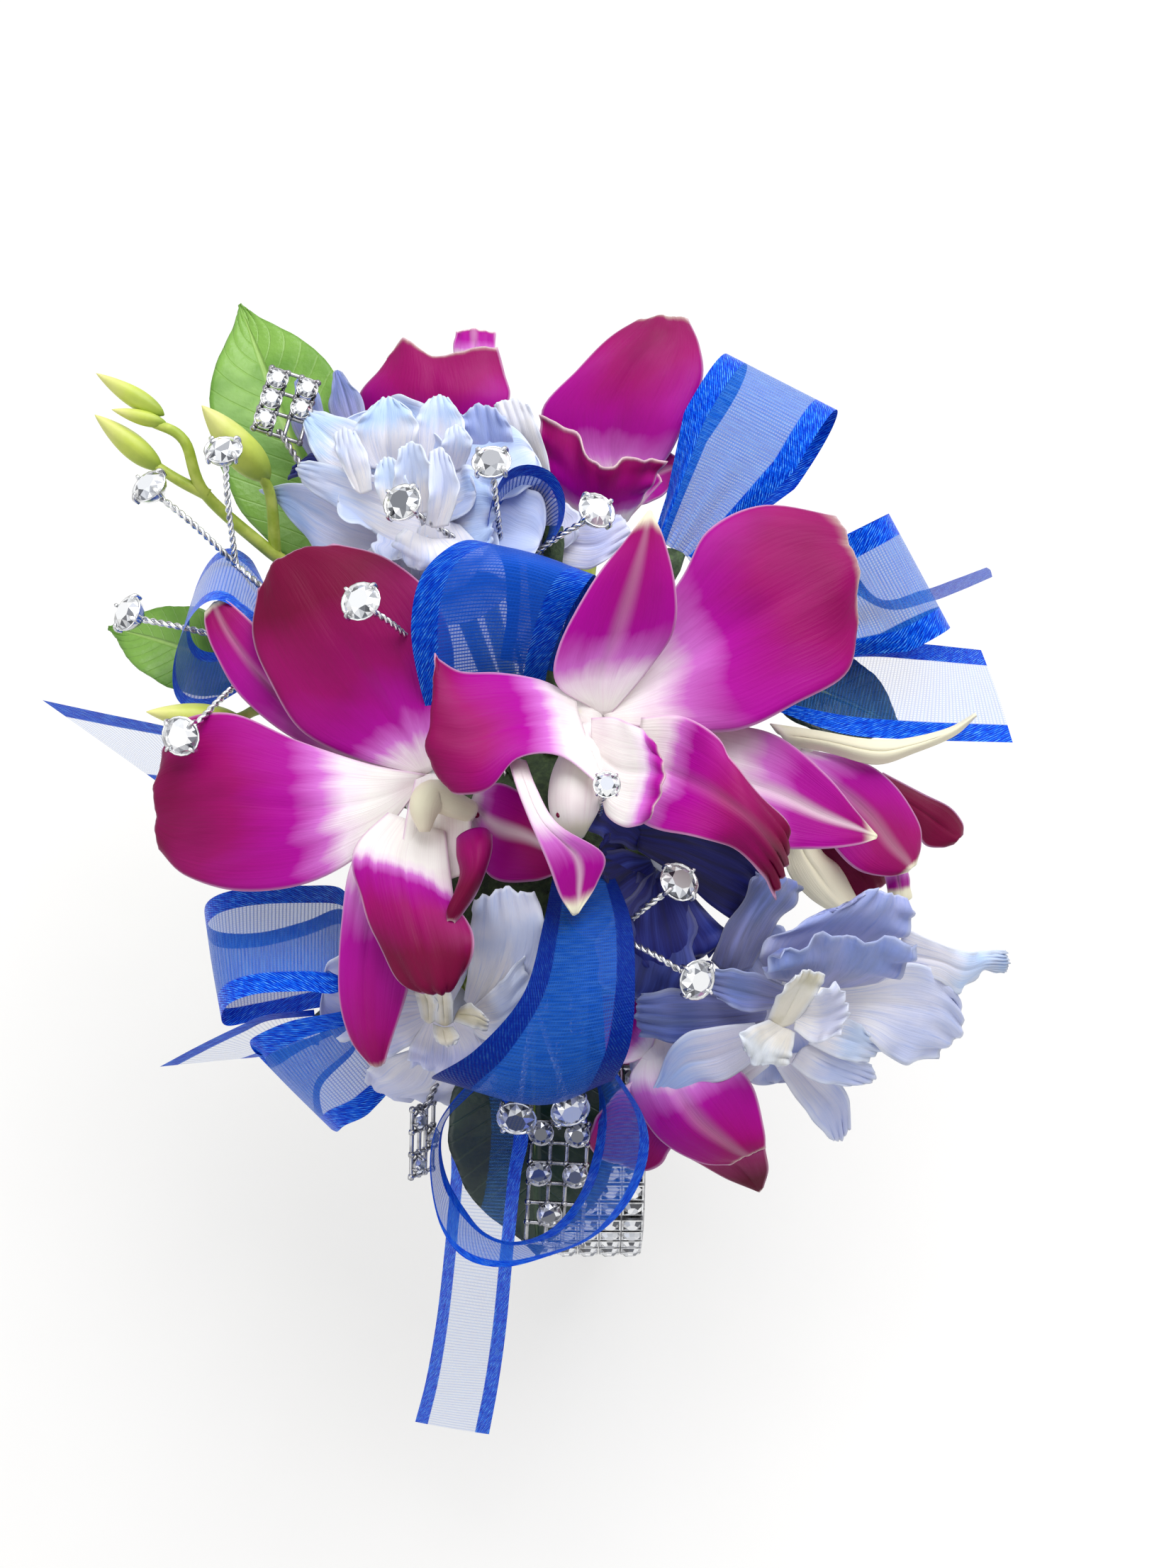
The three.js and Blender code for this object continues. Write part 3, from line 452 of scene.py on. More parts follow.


# ribbon: two satin borders with a slanting twill and painted glints round a sheer middle of crossing
# threads; place x is the way along and y the way across, both in millimetres, z the half width; tone x
# makes the sheer middle denser, and tone y is painted shade that darkens the whole ribbon, its borders most
def ribbonMaterial(name, border):
    material, tree, shader = newMaterial(name, **{
        "Roughness": 0.4, "Specular IOR Level": 0.5, "Specular Tint": colour(60, 120, 255)})
    along, across, half = fieldParts(tree, "place")
    dense, shade = fieldParts(tree, "tone")[:2]
    fromEdge = sums(tree, "SUBTRACT", half, sums(tree, "ABSOLUTE", across))
    satin = smoothly(tree, fromEdge, border - 0.12, border + 0.12, (1.0, 0.0))
    lean = sums(tree, "ADD", along, times(tree, across, 1.5))
    twill = sineOf(tree, lean, 13.0)
    # painted glints and sheen: the twill and a stretched noise carry the satin colour from deep navy up to
    # pale blue
    paintedGlint = noise(tree, flatPlace(tree, lean, across, 3.0, 1.0), scale=1.6)
    paintedGlintLevel = sums(tree, "MULTIPLY_ADD", twill, 0.1, paintedGlint)
    satinWithPaintedGlints = ramp(tree, paintedGlintLevel, [(0.25, colour(0, 22, 146)), (0.46, colour(0, 54, 204)),
                                   (0.6, colour(16, 112, 242)), (0.74, colour(104, 184, 255))])
    slub = noise(tree, flatPlace(tree, along, across, 4.0, 0.3), scale=1.2, detail=2.0)
    weft = smoothly(tree, sineOf(tree, along, 15.0), -0.1, 0.9)
    warp = smoothly(tree, sineOf(tree, across, 19.0), 0.1, 0.9)
    thread = sums(tree, "MAXIMUM", weft, times(tree, warp, 0.6))
    slubShare = smoothly(tree, slub, 0.35, 0.7)
    sheerColour = blendColour(tree, slubShare, colour(30, 118, 222), colour(84, 160, 240))
    sheerColour = blendColour(tree, times(tree, dense, 0.6), sheerColour, colour(14, 74, 190))
    cloth = blendColour(tree, satin, sheerColour, satinWithPaintedGlints)
    # painted shade: tone y darkens the cloth towards navy, the satin borders most
    paintedShadeShare = times(tree, shade, sums(tree, "MULTIPLY_ADD", satin, 0.55, 0.45))
    feed(tree, shader, "Base Color", blendColour(tree, paintedShadeShare, cloth, colour(4, 14, 92)))
    sheer = sums(tree, "MULTIPLY_ADD", thread, 0.25, sums(tree, "MULTIPLY_ADD", dense, 0.38, 0.2))
    feed(tree, shader, "Alpha", sums(tree, "MAXIMUM", satin, sheer))
    feed(tree, shader, "Roughness", smoothly(tree, paintedGlintLevel, 0.3, 0.8, (0.46, 0.26)))
    weave = sums(tree, "MULTIPLY_ADD", twill, times(tree, satin, 0.5), thread)
    bump(tree, shader, weave, strength=0.25, distance=0.0002)
    return material


ribbonWide = ribbonMaterial("ribbonWide", 2.9)
ribbonNarrow = ribbonMaterial("ribbonNarrow", 2.4)
ribbonFolded = ribbonMaterial("ribbonFolded", 5.4)  # a border past the middle: satin all over


# metal: worn smooth, tarnished in patches
def metalMaterial(name, bright, dull):
    material, tree, shader = newMaterial(name, Metallic=1.0)
    tarnish = noise(tree, objectPlace(tree), scale=700.0, detail=4.0)
    feed(tree, shader, "Base Color", blendColour(tree, smoothly(tree, tarnish, 0.4, 0.75), bright, dull))
    feed(tree, shader, "Roughness", smoothly(tree, tarnish, 0.3, 0.8, (0.16, 0.34)))
    bump(tree, shader, tarnish, strength=0.12, distance=0.0002)
    return material


silverMaterial = metalMaterial("silverMetal", (0.78, 0.79, 0.8, 1), (0.36, 0.36, 0.37, 1))
meshMetal = metalMaterial("meshMetal", (0.4, 0.4, 0.42, 1), (0.14, 0.14, 0.15, 1))


# foiled glass with painted reflections: each facet gets its own painted brightness, from near black to white,
# by a random value on its normal
def stoneFinish(name):
    material, tree, shader = newMaterial(name, **{
        "Metallic": 0.55, "Roughness": 0.04, "Coat Weight": 1.0, "Coat Roughness": 0.02,
        "Specular IOR Level": 0.8})
    normal = add(tree, "NewGeometry", (), 3)
    stepped = add(tree, "VectorMath", [normal, (0.05, 0.05, 0.05)], operation="SNAP")
    paintedFacetLight = add(tree, "TexWhiteNoise", {"Vector": stepped}, 0, noise_dimensions="3D")
    feed(tree, shader, "Base Color", ramp(tree, paintedFacetLight, [
        (0.0, colour(48, 50, 58)), (0.25, colour(128, 132, 142)),
        (0.5, colour(226, 229, 234)), (1.0, colour(255, 255, 255))]))
    return material


# elastic: white, ribbed along its length and crossed by finer threads
def elasticFinish(name):
    material, tree, shader = newMaterial(name, Roughness=0.75)
    s, t = fieldParts(tree, "place")[:2]
    rib = sineOf(tree, t, 40.0)
    cross = sineOf(tree, s, 160.0)
    body = blendColour(tree, smoothly(tree, rib, -0.4, 0.8), colour(196, 198, 202), colour(236, 237, 240))
    feed(tree, shader, "Base Color", body)
    bump(tree, shader, sums(tree, "MULTIPLY_ADD", cross, 0.5, rib), strength=0.6, distance=0.0002)
    return material


stoneMaterial = stoneFinish("stoneGlass")
elasticMaterial = elasticFinish("elasticWeave")
print("finishes made")


petalStart, petalLeast = 1.8, 0.3  # from the heart to a petal's base, and its least half width
allWhite = 1.4  # a throat that reaches past the tip
outlines = dict(petal=(0.62, 0.40), sepal=(0.6, 0.85), round=(0.8, 0.34), leaf=(0.6, 0.85))
petalLook = dict(cup=0.25, ruffle=0.02, waves=2.5, crease=0.3, wobble=0.02, notch=0.02, thick=0.5,
                 tone=(0.3, 0, 0), rows=38, columns=27)


# half width along a petal: two powers of the way along, 1 at the widest place
def outline(kind, s):
    rise, fall = outlines[kind]
    peak = rise / (rise + fall)
    shape = lambda x: (x + 0.02) ** rise * np.maximum(1 - x, 0) ** fall
    return shape(s) / shape(peak)


# the front, top and right of a flower: the way it faces, the way up across that, and square to both
def flowerAxes(facing):
    front = unit(facing)
    top = unit(np.array([0, 1.0, 0]) - front * front[1])
    return front, top, np.cross(top, front)


# the distance from the rim of every point of a blade, and its way along, way across and that distance
def bladePlace(s, t, half, length):
    edge = np.minimum((1 - np.abs(t)) * half, (1 - s) * length)
    return edge, np.stack([s + 0 * t, t + 0 * s, edge], -1)


# a petal's sheet, thinner at its rim
def petalSheet(grid, s, t, half, length, look, front=0):
    edge, place = bladePlace(s, t, half, length)
    thick = look["thick"] * (0.35 + 0.65 * ease(edge, 0.0, 1.2))
    return sheetPart(grid, thick, place, look["tone"], front)


# a petal by outline: its midline bends from its rise to its droop along the length; across it, each
# half is an arc as long as the half width, turning by twice the cup, with waves that grow to the rim
# and a crease down the middle
def petalPart(centre, axes, kind, turn, length, width, rise, droop, **changes):
    look = {**petalLook, **changes}
    front, top, right = axes
    out = top * np.cos(np.radians(turn)) + right * np.sin(np.radians(turn))
    side = np.cross(front, out)
    s = np.sin(np.pi / 2 * np.linspace(0, 1, look["rows"]))[:, None]
    t = np.linspace(-1, 1, look["columns"])[None, :]
    first = np.radians(rise)
    bend = np.radians(droop - rise) or 1e-4  # never quite straight
    lean = first + bend * s
    reach = length / bend * (np.sin(lean) - np.sin(first))
    height = length / bend * (np.cos(first) - np.cos(lean))
    middle = centre + out * (petalStart + reach) + front * height
    up = np.cross(out * np.cos(lean) + front * np.sin(lean), side)
    phase = 0.7 * turn
    uneven = 1 + look["notch"] * (np.sin(9 * s + phase) * np.sign(t) + np.sin(23 * s + 2 * phase))
    half = np.maximum(width / 2 * outline(kind, s) * uneven, petalLeast)
    waves = np.sin(2 * np.pi * look["waves"] * s + phase + 1.9 * np.sign(t)) * s**1.5 * t**2
    tipWaves = np.sin(np.pi * look["waves"] * t + phase) * ease(s, 0.65, 0.9) * 0.4
    swell = np.sin(4.2 * s + phase) * np.cos(1.8 * t + 2 * phase) * s
    bow = 2 * look["cup"]
    flat = half * np.sin(bow * t) / bow
    lift = half * (1 - np.cos(bow * t)) / bow
    narrow = (2 * half / width) ** 0.8
    lift = lift + width * narrow * (look["ruffle"] * (waves + tipWaves) + look["wobble"] * swell)
    creased = ease(s, 0.0, 0.2) * (1 - ease(s, 0.6, 1.0))
    lift = lift - look["crease"] * np.exp(-(t / 0.12) ** 2) * creased
    grid = middle[:, None] + side * flat[..., None] + up[:, None] * lift[..., None]
    return petalSheet(grid, s, t, half, length, look)


# a petal through a net given in its flower's right, top and front: waves grow to the rim, small
# notches cut the tip, and a crease runs down the middle
def netPart(centre, axes, net, front=0, **changes):
    look = {**petalLook, **changes}
    ahead, top, right = axes
    corners = np.asarray(net, float) @ np.array([right, top, ahead]) + centre
    grid = throughNet(corners, look["rows"], look["columns"])
    s = np.linspace(0, 1, look["rows"])[:, None]
    t = np.linspace(-1, 1, look["columns"])[None, :]
    middle = grid[:, look["columns"] // 2]
    half = np.linalg.norm(grid[:, -1] - grid[:, 0], axis=1)[:, None] / 2
    phase = 5.1 * middle[-1, 0] + 3.3 * middle[-1, 1]
    along, up = unit(np.gradient(grid, axis=0)), gridNormal(grid)
    beat = 2 * np.pi * look["waves"]
    waves = np.sin(beat * s + phase + 1.9 * np.sign(t)) * np.abs(t) ** 3 * ease(s, 0.1, 0.6)
    tipWaves = np.sin(0.75 * beat * t + phase) * ease(s, 0.6, 1.0)
    swell = np.sin(4.2 * s + phase) * np.cos(1.8 * t + 2 * phase) * ease(s, 0, 0.3)
    lift = 2 * half * (look["ruffle"] * (waves + tipWaves) + look["wobble"] * swell)
    creased = ease(s, 0.0, 0.2) * (1 - ease(s, 0.5, 0.95)) * half / half.max()
    lift = lift - look["crease"] * np.exp(-(t / 0.1) ** 2) * creased
    jag = np.sin(7 * t + phase) + 0.7 * np.sin(15 * t + 2 * phase) + 0.4 * np.sin(29 * t + 3 * phase)
    cut = look["notch"] * half * jag * ease(s, 0.8, 1.0)
    grid = grid + up * lift[..., None] + along * cut[..., None]
    return petalSheet(grid, s, t, half, distanceAlong(middle)[-1], look, front)


mound = dict(centre=np.array([-4, 6, 38.5]), radii=np.array([17, 17, 6.5]), sunk=0.97)


# the point of the mound that lies towards another point, just under the wrap
def onMound(point):
    away = (np.asarray(point, float) - mound["centre"]) / mound["radii"]
    return mound["centre"] + mound["sunk"] * mound["radii"] * away / np.linalg.norm(away)


stalk = dict(lowest=31.5, top=1.5, foot=0.95)  # lowest keeps it clear of the stretched bracelet


# a flower's stalk: from its heart back, then down to the mound
def stalkPart(centre, front):
    behind = centre - 5 * front
    behind[2] = max(behind[2], stalk["lowest"])
    foot = onMound(behind)
    path = curveThrough([centre - 2.5 * front, behind, 0.5 * (behind + foot) - front, foot], 20)
    return tubePart(path, np.linspace(stalk["top"], stalk["foot"], 20), 9, 2)


stigmaProfile = [(0.05, -0.3), (0.25, -0.2), (0.36, 0.0), (0.25, 0.14), (0.05, 0.2)]


# the column: a blunt finger of changing girth through its points, with a dark stigma on its face
def columnPart(centre, axes, path, girth, spot, cream):
    front, top, right = axes
    turn = np.array([right, top, front])
    middle = curveThrough(np.asarray(path) @ turn + centre, 24)
    radius = np.maximum(curveThrough(np.array(girth)[:, None], 24)[:, 0], 0.3)
    spot = np.array(spot) @ turn + centre
    stigma = turnedPart(stigmaProfile, spot, front - 0.3 * top, 10, tone=(-0.9, 0, 0))
    return [tubePart(middle, radius, 18, tone=(allWhite, cream, 0)), stigma]


# a flower's petals by outline and by net, its stalk and its heart
def flowerParts(flower, look, heart, heartTone, sides):
    axes = flowerAxes(flower["facing"])
    centre = np.array(flower["at"], float)
    parts = [petalPart(centre, axes, *p[:6], **{**look, **p[6]}) for p in flower.get("petals", ())]
    parts += [netPart(centre, axes, net, **{**look, **changes}) for net, changes in flower["nets"]]
    parts.append(stalkPart(centre, axes[0]))
    parts.append(turnedPart(heart, centre, axes[0], sides, tone=heartTone))
    return parts


# each orchid: where its heart is and which way it faces, petals by outline (kind, turn, length, width,
# rise, droop, look), and petals and lip lobes by net: rows from base to tip, each from the right hand to
# the left as one looks from base to tip, in millimetres right, up and out of the heart
orchids = dict(
    orchid_centre=dict(
        at=(-1, 14, 56), facing=(0.12, -0.36, 0.92),
        nets=[
            ([[(3.4,-0.9,0),(2.7,0.2,-0.5),(3.1,1.3,0)],[(9.4,-1.8,1.5),(8.8,4,1),(6.1,8.2,1.5)],
              [(17.4,-1.7,4),(15.1,8.8,3.5),(10.5,15.5,3.5)],[(23.9,1.7,5),(21,12.9,5.5),(13.3,21.3,4)],
              [(29.4,5.6,4.5),(26.6,16.6,5.5),(19.4,24.7,3.5)],[(31,11.6,3.8),(30.3,18.8,4.5),(28.1,24.2,3)]],
             dict(tone=(0.2, 0, 0), ruffle=0.012, waves=1.6)),
            ([[(3.8,0.2,0),(2.7,-0.1,-0.5),(1.7,0.4,0)],[(7.3,4.7,3),(2.2,4,2.5),(-3,2.3,3)],
              [(9.4,8.5,6.5),(3.3,8.3,5.5),(-3.2,6.2,5.5)],[(9.1,12.8,8.5),(4.5,13.8,8),(-0.1,12.9,8)],
              [(7.6,17.8,9),(5.4,18.4,9),(3.1,17.6,8.5)],[(6,21.1,9),(5.8,21.3,9),(5.5,21.1,9)]],
             dict(tone=(0.18, 0.12, 0.15), ruffle=0.006)),
            ([[(-0.6,1.3,1),(-0.2,-0.7,1),(0.9,-4.8,4),(2.6,-10.2,8)],
              [(-4.6,2.7,2.5),(-3.7,-0.6,3.5),(-3,-4.2,6),(-2.5,-6.6,8)],
              [(-9.8,3,4),(-8.6,-1.5,6.5),(-7.8,-5.4,8.5),(-7.3,-7.4,9)],
              [(-13.9,2.7,5),(-13.3,-2.6,8),(-11.9,-7.7,9.5),(-10.2,-10.8,9)],
              [(-16,3.5,6),(-16.1,-2.3,7.5),(-16.1,-7.1,8.5),(-13.1,-11.4,8)],
              [(-16.8,4.2,6),(-16.6,-2.1,6.5),(-16.9,-7,7),(-15,-10.4,6.5)]],
             dict(tone=(0.17, -0.15, 0), ruffle=0.008)),
            ([[(5.3,-4.2,0),(6.1,-2,-0.5),(6.7,0,0)],[(13.6,-11,0.5),(15,-6.1,0.5),(17.2,-0.4,0.5)],
              [(20.7,-14.1,1.5),(22.2,-8,1.5),(22.8,-1.6,1.5)],[(27.1,-14.2,2),(27.8,-10.3,2),(28,-5.7,2.5)],
              [(31.6,-13.5,2),(31.8,-11.5,2),(31.3,-9.3,2.5)],[(34.1,-12.6,2),(34.2,-12.3,2),(34.1,-12.1,2)]],
             dict(tone=(0.26, 0.1, 0.6), ruffle=0.006)),
            ([[(-8.2,-6.3,5),(-7.2,-6.8,5.5),(-6.1,-6.9,5)],[(-7.4,-9.9,8.6),(-6.3,-10,8),(-5,-10.4,7.8)],
              [(-5.7,-14,9.4),(-4.3,-14,8.6),(-2.6,-14,8)],[(-3.4,-18.4,8.5),(-0.3,-17.2,6.5),(2.7,-16.6,6)],
              [(-1.9,-21.5,7),(0.2,-20.9,5.6),(2.3,-19.8,5.4)],
              [(-0.4,-23.3,6),(-0.1,-23.5,5.5),(0.4,-23.2,5.4)]],
             dict(tone=(0.4, 0.14, 0.45), ruffle=0.004)),
        ],
        lobes=[
            ([[(2,-8.3,4),(1.6,-5,3),(1,-1.4,4)],[(2.8,-12.6,7),(4.2,-7.3,6),(3.3,-1.7,6.5)],
              [(5.1,-14.1,9.5),(6.6,-8,9.5),(5.7,-3.2,9)],[(7.2,-13.1,10),(8.3,-8.6,11),(7.5,-5.1,10)]],
             dict(tone=(0.64, 0, 0), ruffle=0.03)),
            ([[(5.9,-9.1,3),(6.6,-5.7,2.5),(6.7,-0.8,3)],[(6.7,-13,6.5),(9.7,-7.2,5.5),(10.7,-0.9,6)],
              [(10.6,-14.3,9),(13.5,-9.4,9),(14.4,-3.5,8.5)],[(16,-15.6,9.5),(17.3,-12.2,11),(16.5,-7.4,9.5)],
              [(19.8,-18,8),(20.7,-15.3,10),(21.5,-11.6,9)],[(21.7,-20.4,6),(22.5,-17.2,7.5),(22.6,-14.4,8)]],
             dict(tone=(0.16, -0.35, 0.05), ruffle=0.05, waves=3.5)),
        ],
        column=dict(path=[(1.4,-2.1,0), (0.5,-5.9,2), (-0.3,-9.3,3.2), (-0.4,-12.2,3.6), (0.2,-14.6,2.6)],
                    girth=(1.5, 2.7, 3.0, 2.6, 0.8), spot=(-2.2, -12.6, 5.2), cream=0.2)),
    orchid_left=dict(
        at=(-18, 7, 49), facing=(-0.12, -0.34, 0.93),
        nets=[
            ([[(0.5,3.1,0),(-0.6,2.7,-0.5),(-1.7,2.7,0)],[(2.4,9,1),(-3.4,7.7,1),(-8.7,5,0)],
              [(3.7,16,2.5),(-6.9,14.2,3),(-14.7,8.5,1)],[(1.5,22.8,3),(-10.7,20.9,4),(-17.8,14.4,2)],
              [(-3.8,28,2.5),(-13.7,26.4,3.5),(-19.8,20,2)],[(-10.3,30.3,1.5),(-16,29.1,2.5),(-19.3,25.5,2)]],
             dict(tone=(0.1, -0.3, 0), ruffle=0.014, waves=1.7)),
            ([[(-0.5,2.6,0),(-1.4,1.7,-0.5),(-1.8,0.4,0)],[(-6.8,4,1),(-6.8,-0.4,1.5),(-6.6,-5.4,1)],
              [(-14.8,7.1,2),(-14.1,-1,3.5),(-13.5,-9.3,2)],[(-22.3,10.7,2),(-22.6,0.2,4),(-21.7,-9.9,2)],
              [(-28.6,10.4,1.5),(-29.2,0.8,3),(-28.3,-7.7,1.5)],[(-31.3,7.3,1),(-31.7,1.1,2),(-31.6,-4.3,1)]],
             dict(tone=(0.28, -0.25, 0), ruffle=0.014, waves=1.4)),
            ([[(-4.2,4.2,-2),(-5,3.8,-2),(-5.9,3.7,-2)],[(-11.4,11.2,-1),(-13.1,8.8,-1),(-15.2,7.4,-1)],
              [(-17.3,17.8,0),(-19.5,15.4,0),(-21.9,13,0)],[(-19.9,21.3,0.5),(-22.7,19.8,0.5),(-25,18.5,0.5)],
              [(-22.6,24.1,0.5),(-24.5,23.1,0.5),(-26.1,21.7,0.5)],
              [(-23.8,25,0.5),(-25,24.7,0.5),(-26.2,23.5,0.5)]],
             dict(tone=(0.1, 0.08, 0.15), ruffle=0.008)),
            ([[(-5.2,-3.1,0),(-3.2,-2.7,-0.5),(-0.7,-3.4,0)],[(-8.9,-7.2,1.5),(-5.3,-9.4,2),(-0.4,-10.5,2)],
              [(-10,-14,2.5),(-6.8,-15.8,3),(-1.2,-16.9,3)],[(-10.5,-21.9,2.5),(-7.4,-22.1,3),(-2.6,-22.4,3)],
              [(-9.5,-27,1.5),(-7.2,-27.5,2),(-4.5,-26.9,2)],[(-7.5,-30,1),(-6.6,-30.3,1),(-5.8,-29.9,1)]],
             dict(tone=(0.2, 0, 0), ruffle=0.01)),
            ([[(4.5,-2.6,1),(4.9,-1.4,1),(5.4,0.2,1)],[(6.8,-9.7,2),(7.9,-4.3,2.5),(8.6,0.6,2)],
              [(11.6,-10.7,2),(11.5,-5.8,3),(12.1,-1.7,2)],[(14.8,-9.7,1.5),(15.1,-7.9,2),(15.1,-5.8,1.5)],
              [(16.5,-8.4,1),(16.6,-8.2,1),(16.6,-7.9,1)]],
             dict(tone=(0.05, -0.2, 0.6), ruffle=0.006)),
        ],
        lobes=[
            ([[(-1.5,1.8,1),(0.6,2.3,0.6),(3.1,1.5,1)],[(-2.1,-2.1,2.8),(0.8,-2.3,1.4),(5.1,-2.8,2.8)],
              [(-2.7,-6.2,3.6),(0.8,-6.7,3),(5,-6.9,3.8)],[(-3.2,-9.7,4.2),(0.5,-10.1,4.2),(4.3,-10,4.6)]],
             dict(tone=(1.4, 0, 0), ruffle=0.01)),
            ([[(-4.4,-2,2.5),(-1.3,-3.4,2.2),(2.2,-4.6,2.8)],[(-7.3,-5.2,4.2),(-2.2,-6.9,4),(3,-9.2,5)],
              [(-7.9,-8.3,5.6),(-1.9,-10.1,6),(3.8,-13.3,6.6)],
              [(-6.6,-12.2,6.6),(-0.9,-14,7.8),(5.1,-15,7.4)],
              [(-5.1,-16.3,7.2),(0.5,-18.5,8.8),(5.9,-17.5,7.6)],
              [(-3.2,-20.7,7),(1.6,-22.1,8.5),(4.9,-20.4,7)],
              [(-0.2,-22.6,6.4),(2,-23.1,7.4),(3.3,-22.5,6.4)]],
             dict(tone=(0.26, -0.8, 0), ruffle=0.04, waves=2.6)),
            ([[(4.8,-6.9,4.8),(4.3,-6.2,6.6),(5.7,-5.5,7.6),(7.3,-5.3,7.2),(7.8,-5.7,5)],
              [(5,-8.7,5.4),(4.4,-8.1,7.6),(6.3,-7.4,9),(7.7,-7,8),(7.7,-7.5,5.4)],
              [(4.9,-10.6,6.2),(4.8,-10.1,8.2),(6.5,-9.6,9.6),(7.4,-9.4,8.6),(7,-10.1,6.2)],
              [(4.2,-12.6,7),(4.2,-12.2,8.4),(5.6,-11.7,9.4),(6.5,-11.6,8.6),(6.1,-12.5,7)],
              [(3.2,-14.4,7.4),(3.3,-14,8.2),(4.2,-13.8,8.8),(4.8,-14.1,8.2),(4.4,-14.8,7.3)],
              [(3,-15.5,7.5),(3.1,-15.3,7.8),(3.4,-15.2,8),(3.8,-15.4,7.8),(3.5,-15.8,7.5)]],
             dict(tone=(-0.5, 0, 0), ruffle=0.02, waves=1.4)),
        ],
        column=dict(path=[(5.3,-2.6,2.6), (3.6,-1.9,4), (1.5,-0.9,5), (0.5,-2.3,5.6), (0.3,-4.9,5.2)],
                    girth=(1.2, 1.5, 1.9, 1.8, 0.6), spot=(5.8, -3.0, 3.0), cream=1)),
    orchid_top_left=dict(
        at=(-18, 57, 50), facing=(-0.1, -0.2, 0.97),
        petals=[("sepal", -80, 14, 8, 15, -5, dict(cup=0.2, tone=(0.1, 0, 0))),
                ("petal", 150, 10, 12, 20, -10, dict(cup=0.2, tone=(0.1, 0, 0)))],
        nets=[
            ([[(1.4,-0.6,0),(0.2,-0.8,0),(-0.9,-0.7,-0.5),(-2,-0.7,0),(-3.1,-0.3,0)],
              [(6,1.9,2),(2.7,1.9,2.2),(-0.5,2.1,2),(-4.6,2.6,2),(-8.9,3.7,1)],
              [(8.6,5,3),(3.9,5,4),(-0.6,5.4,4.2),(-5.7,6.1,3.5),(-11.1,7.3,1.5)],
              [(8,8.8,3),(3.5,8.3,4.4),(-1,8.6,4.6),(-4.9,9.7,4.2),(-8.3,10.4,2.5)],
              [(7,12.8,2.5),(2.9,12,3.6),(-1.8,11.8,4),(-5.1,14.6,3.6),(-7.1,12.1,3)]],
             dict(tone=(0.1, 0, 0), ruffle=0.012, waves=1.5, columns=33)),
            ([[(5.5,7.2,0),(3.7,7.3,0),(1.9,7.5,0)],[(6.4,12.7,1),(3.9,12.6,1.5),(1.1,13.2,1)],
              [(6.6,15.8,1),(3.8,16.3,1.5),(1.4,16.4,1)]],
             dict(tone=(0.5, 0, 0.2), ruffle=0.02)),
        ]),
    orchid_top=dict(
        at=(1, 50, 50), facing=(0.05, -0.25, 0.96),
        petals=[("sepal", -60, 13, 9, -5, -15, dict(tone=(0.25, 0, 0))),
                ("sepal", 72, 10, 8, 15, 5, dict(cup=0.3, tone=(0.25, 0, 0.3)))],
        nets=[
            ([[(3.5,-0.7,0),(2.5,-0.6,-0.5),(1.3,-0.8,0)],[(8.2,3.3,2),(1.6,4.8,1.5),(-4.6,4.3,1)],
              [(10.7,7.8,4),(2.2,10.2,4),(-7.1,9.5,3)],[(12.9,13.7,5),(4.8,15.5,5.5),(-2.7,14.6,4.5)],
              [(12.6,18.5,4.5),(7.4,19.5,5.5),(1.1,19,4.5)],[(11.2,22.9,3.5),(8,22.9,4),(4.9,22.2,3.5)]],
             dict(tone=(0.1, 0, 0), ruffle=0.012, waves=1.6)),
            ([[(3.4,-4.9,2),(2.9,-4,2),(2.7,-3.1,2)],[(5.4,-3.1,4),(4.8,-2,4),(4.1,-1.1,4)],
              [(7.9,-0.4,5),(7.3,0.7,5),(6.2,0.9,5)]],
             dict(tone=(0.6, 0, 0), ruffle=0.01)),
        ],
        lobes=[
            ([[(3.8,-4.9,3),(2.5,-5.6,3),(0.7,-5.9,3),(-1,-5.7,3),(-2.6,-5.1,3)],
              [(5.9,-2.4,6),(3,-3.3,6.8),(0,-3.7,7),(-3.2,-2,6.6),(-6.3,0.9,6)],
              [(7.9,1.2,8),(3.9,0.6,9.5),(-0.1,-0.9,10),(-3.2,3.4,9.5),(-7.9,6.4,8.5)]],
             dict(tone=(0.2, 0, 0), ruffle=0.024, waves=3, columns=41)),
        ]),
    orchid_right=dict(
        at=(26, 16, 41), facing=(0.35, -0.3, 0.9),
        nets=[
            ([[(-2.6,1.9,0.5),(-4.2,2.6,1.3),(-5.2,3.9,0.5)],[(2.7,1.7,1),(1.2,2.8,1.8),(0.6,4.1,1)],
              [(8.7,1.3,1.5),(8.2,2.7,2.3),(6.6,4.2,1.5)],[(13.9,3.8,1.5),(12.9,4.3,2.3),(11.8,5.1,1.5)],
              [(18.9,6.8,2),(17.9,6.9,2.8),(17.8,7.5,2)],[(21.4,9.7,3),(20.8,9.5,3.8),(21.2,10,3)]],
             dict(tone=(1.4, 1, 0), ruffle=0.004)),
            ([[(-1.8,-0.7,0),(-1.6,0.4,0.8),(-0.6,1.8,0)],[(2.2,-5.8,-0.5),(4.3,-2.1,0.3),(7.8,1.9,-0.5)],
              [(5.4,-9.7,-0.5),(8.9,-4.8,0.3),(12.9,-0.3,-0.5)],[(8.2,-11.7,0),(11.8,-7.9,0.8),(16,-4.2,0)],
              [(11.8,-11.9,0.5),(13.9,-9.8,1.3),(16.3,-7.2,0.5)],
              [(14.3,-11,1),(14.4,-10.7,1.8),(15.4,-9.9,1)]],
             dict(tone=(0, 0.08, 0.15), ruffle=0.006)),
            ([[(10.2,-1.4,-2.5),(10.6,-0.1,-1.7),(11.9,1.7,-2.5)],
              [(17.2,-3.9,-4),(17.2,-1.7,-3.2),(18.3,0.6,-4)],
              [(19.9,-5.7,-5),(20.9,-2.7,-4.2),(22.9,-0.2,-5)],
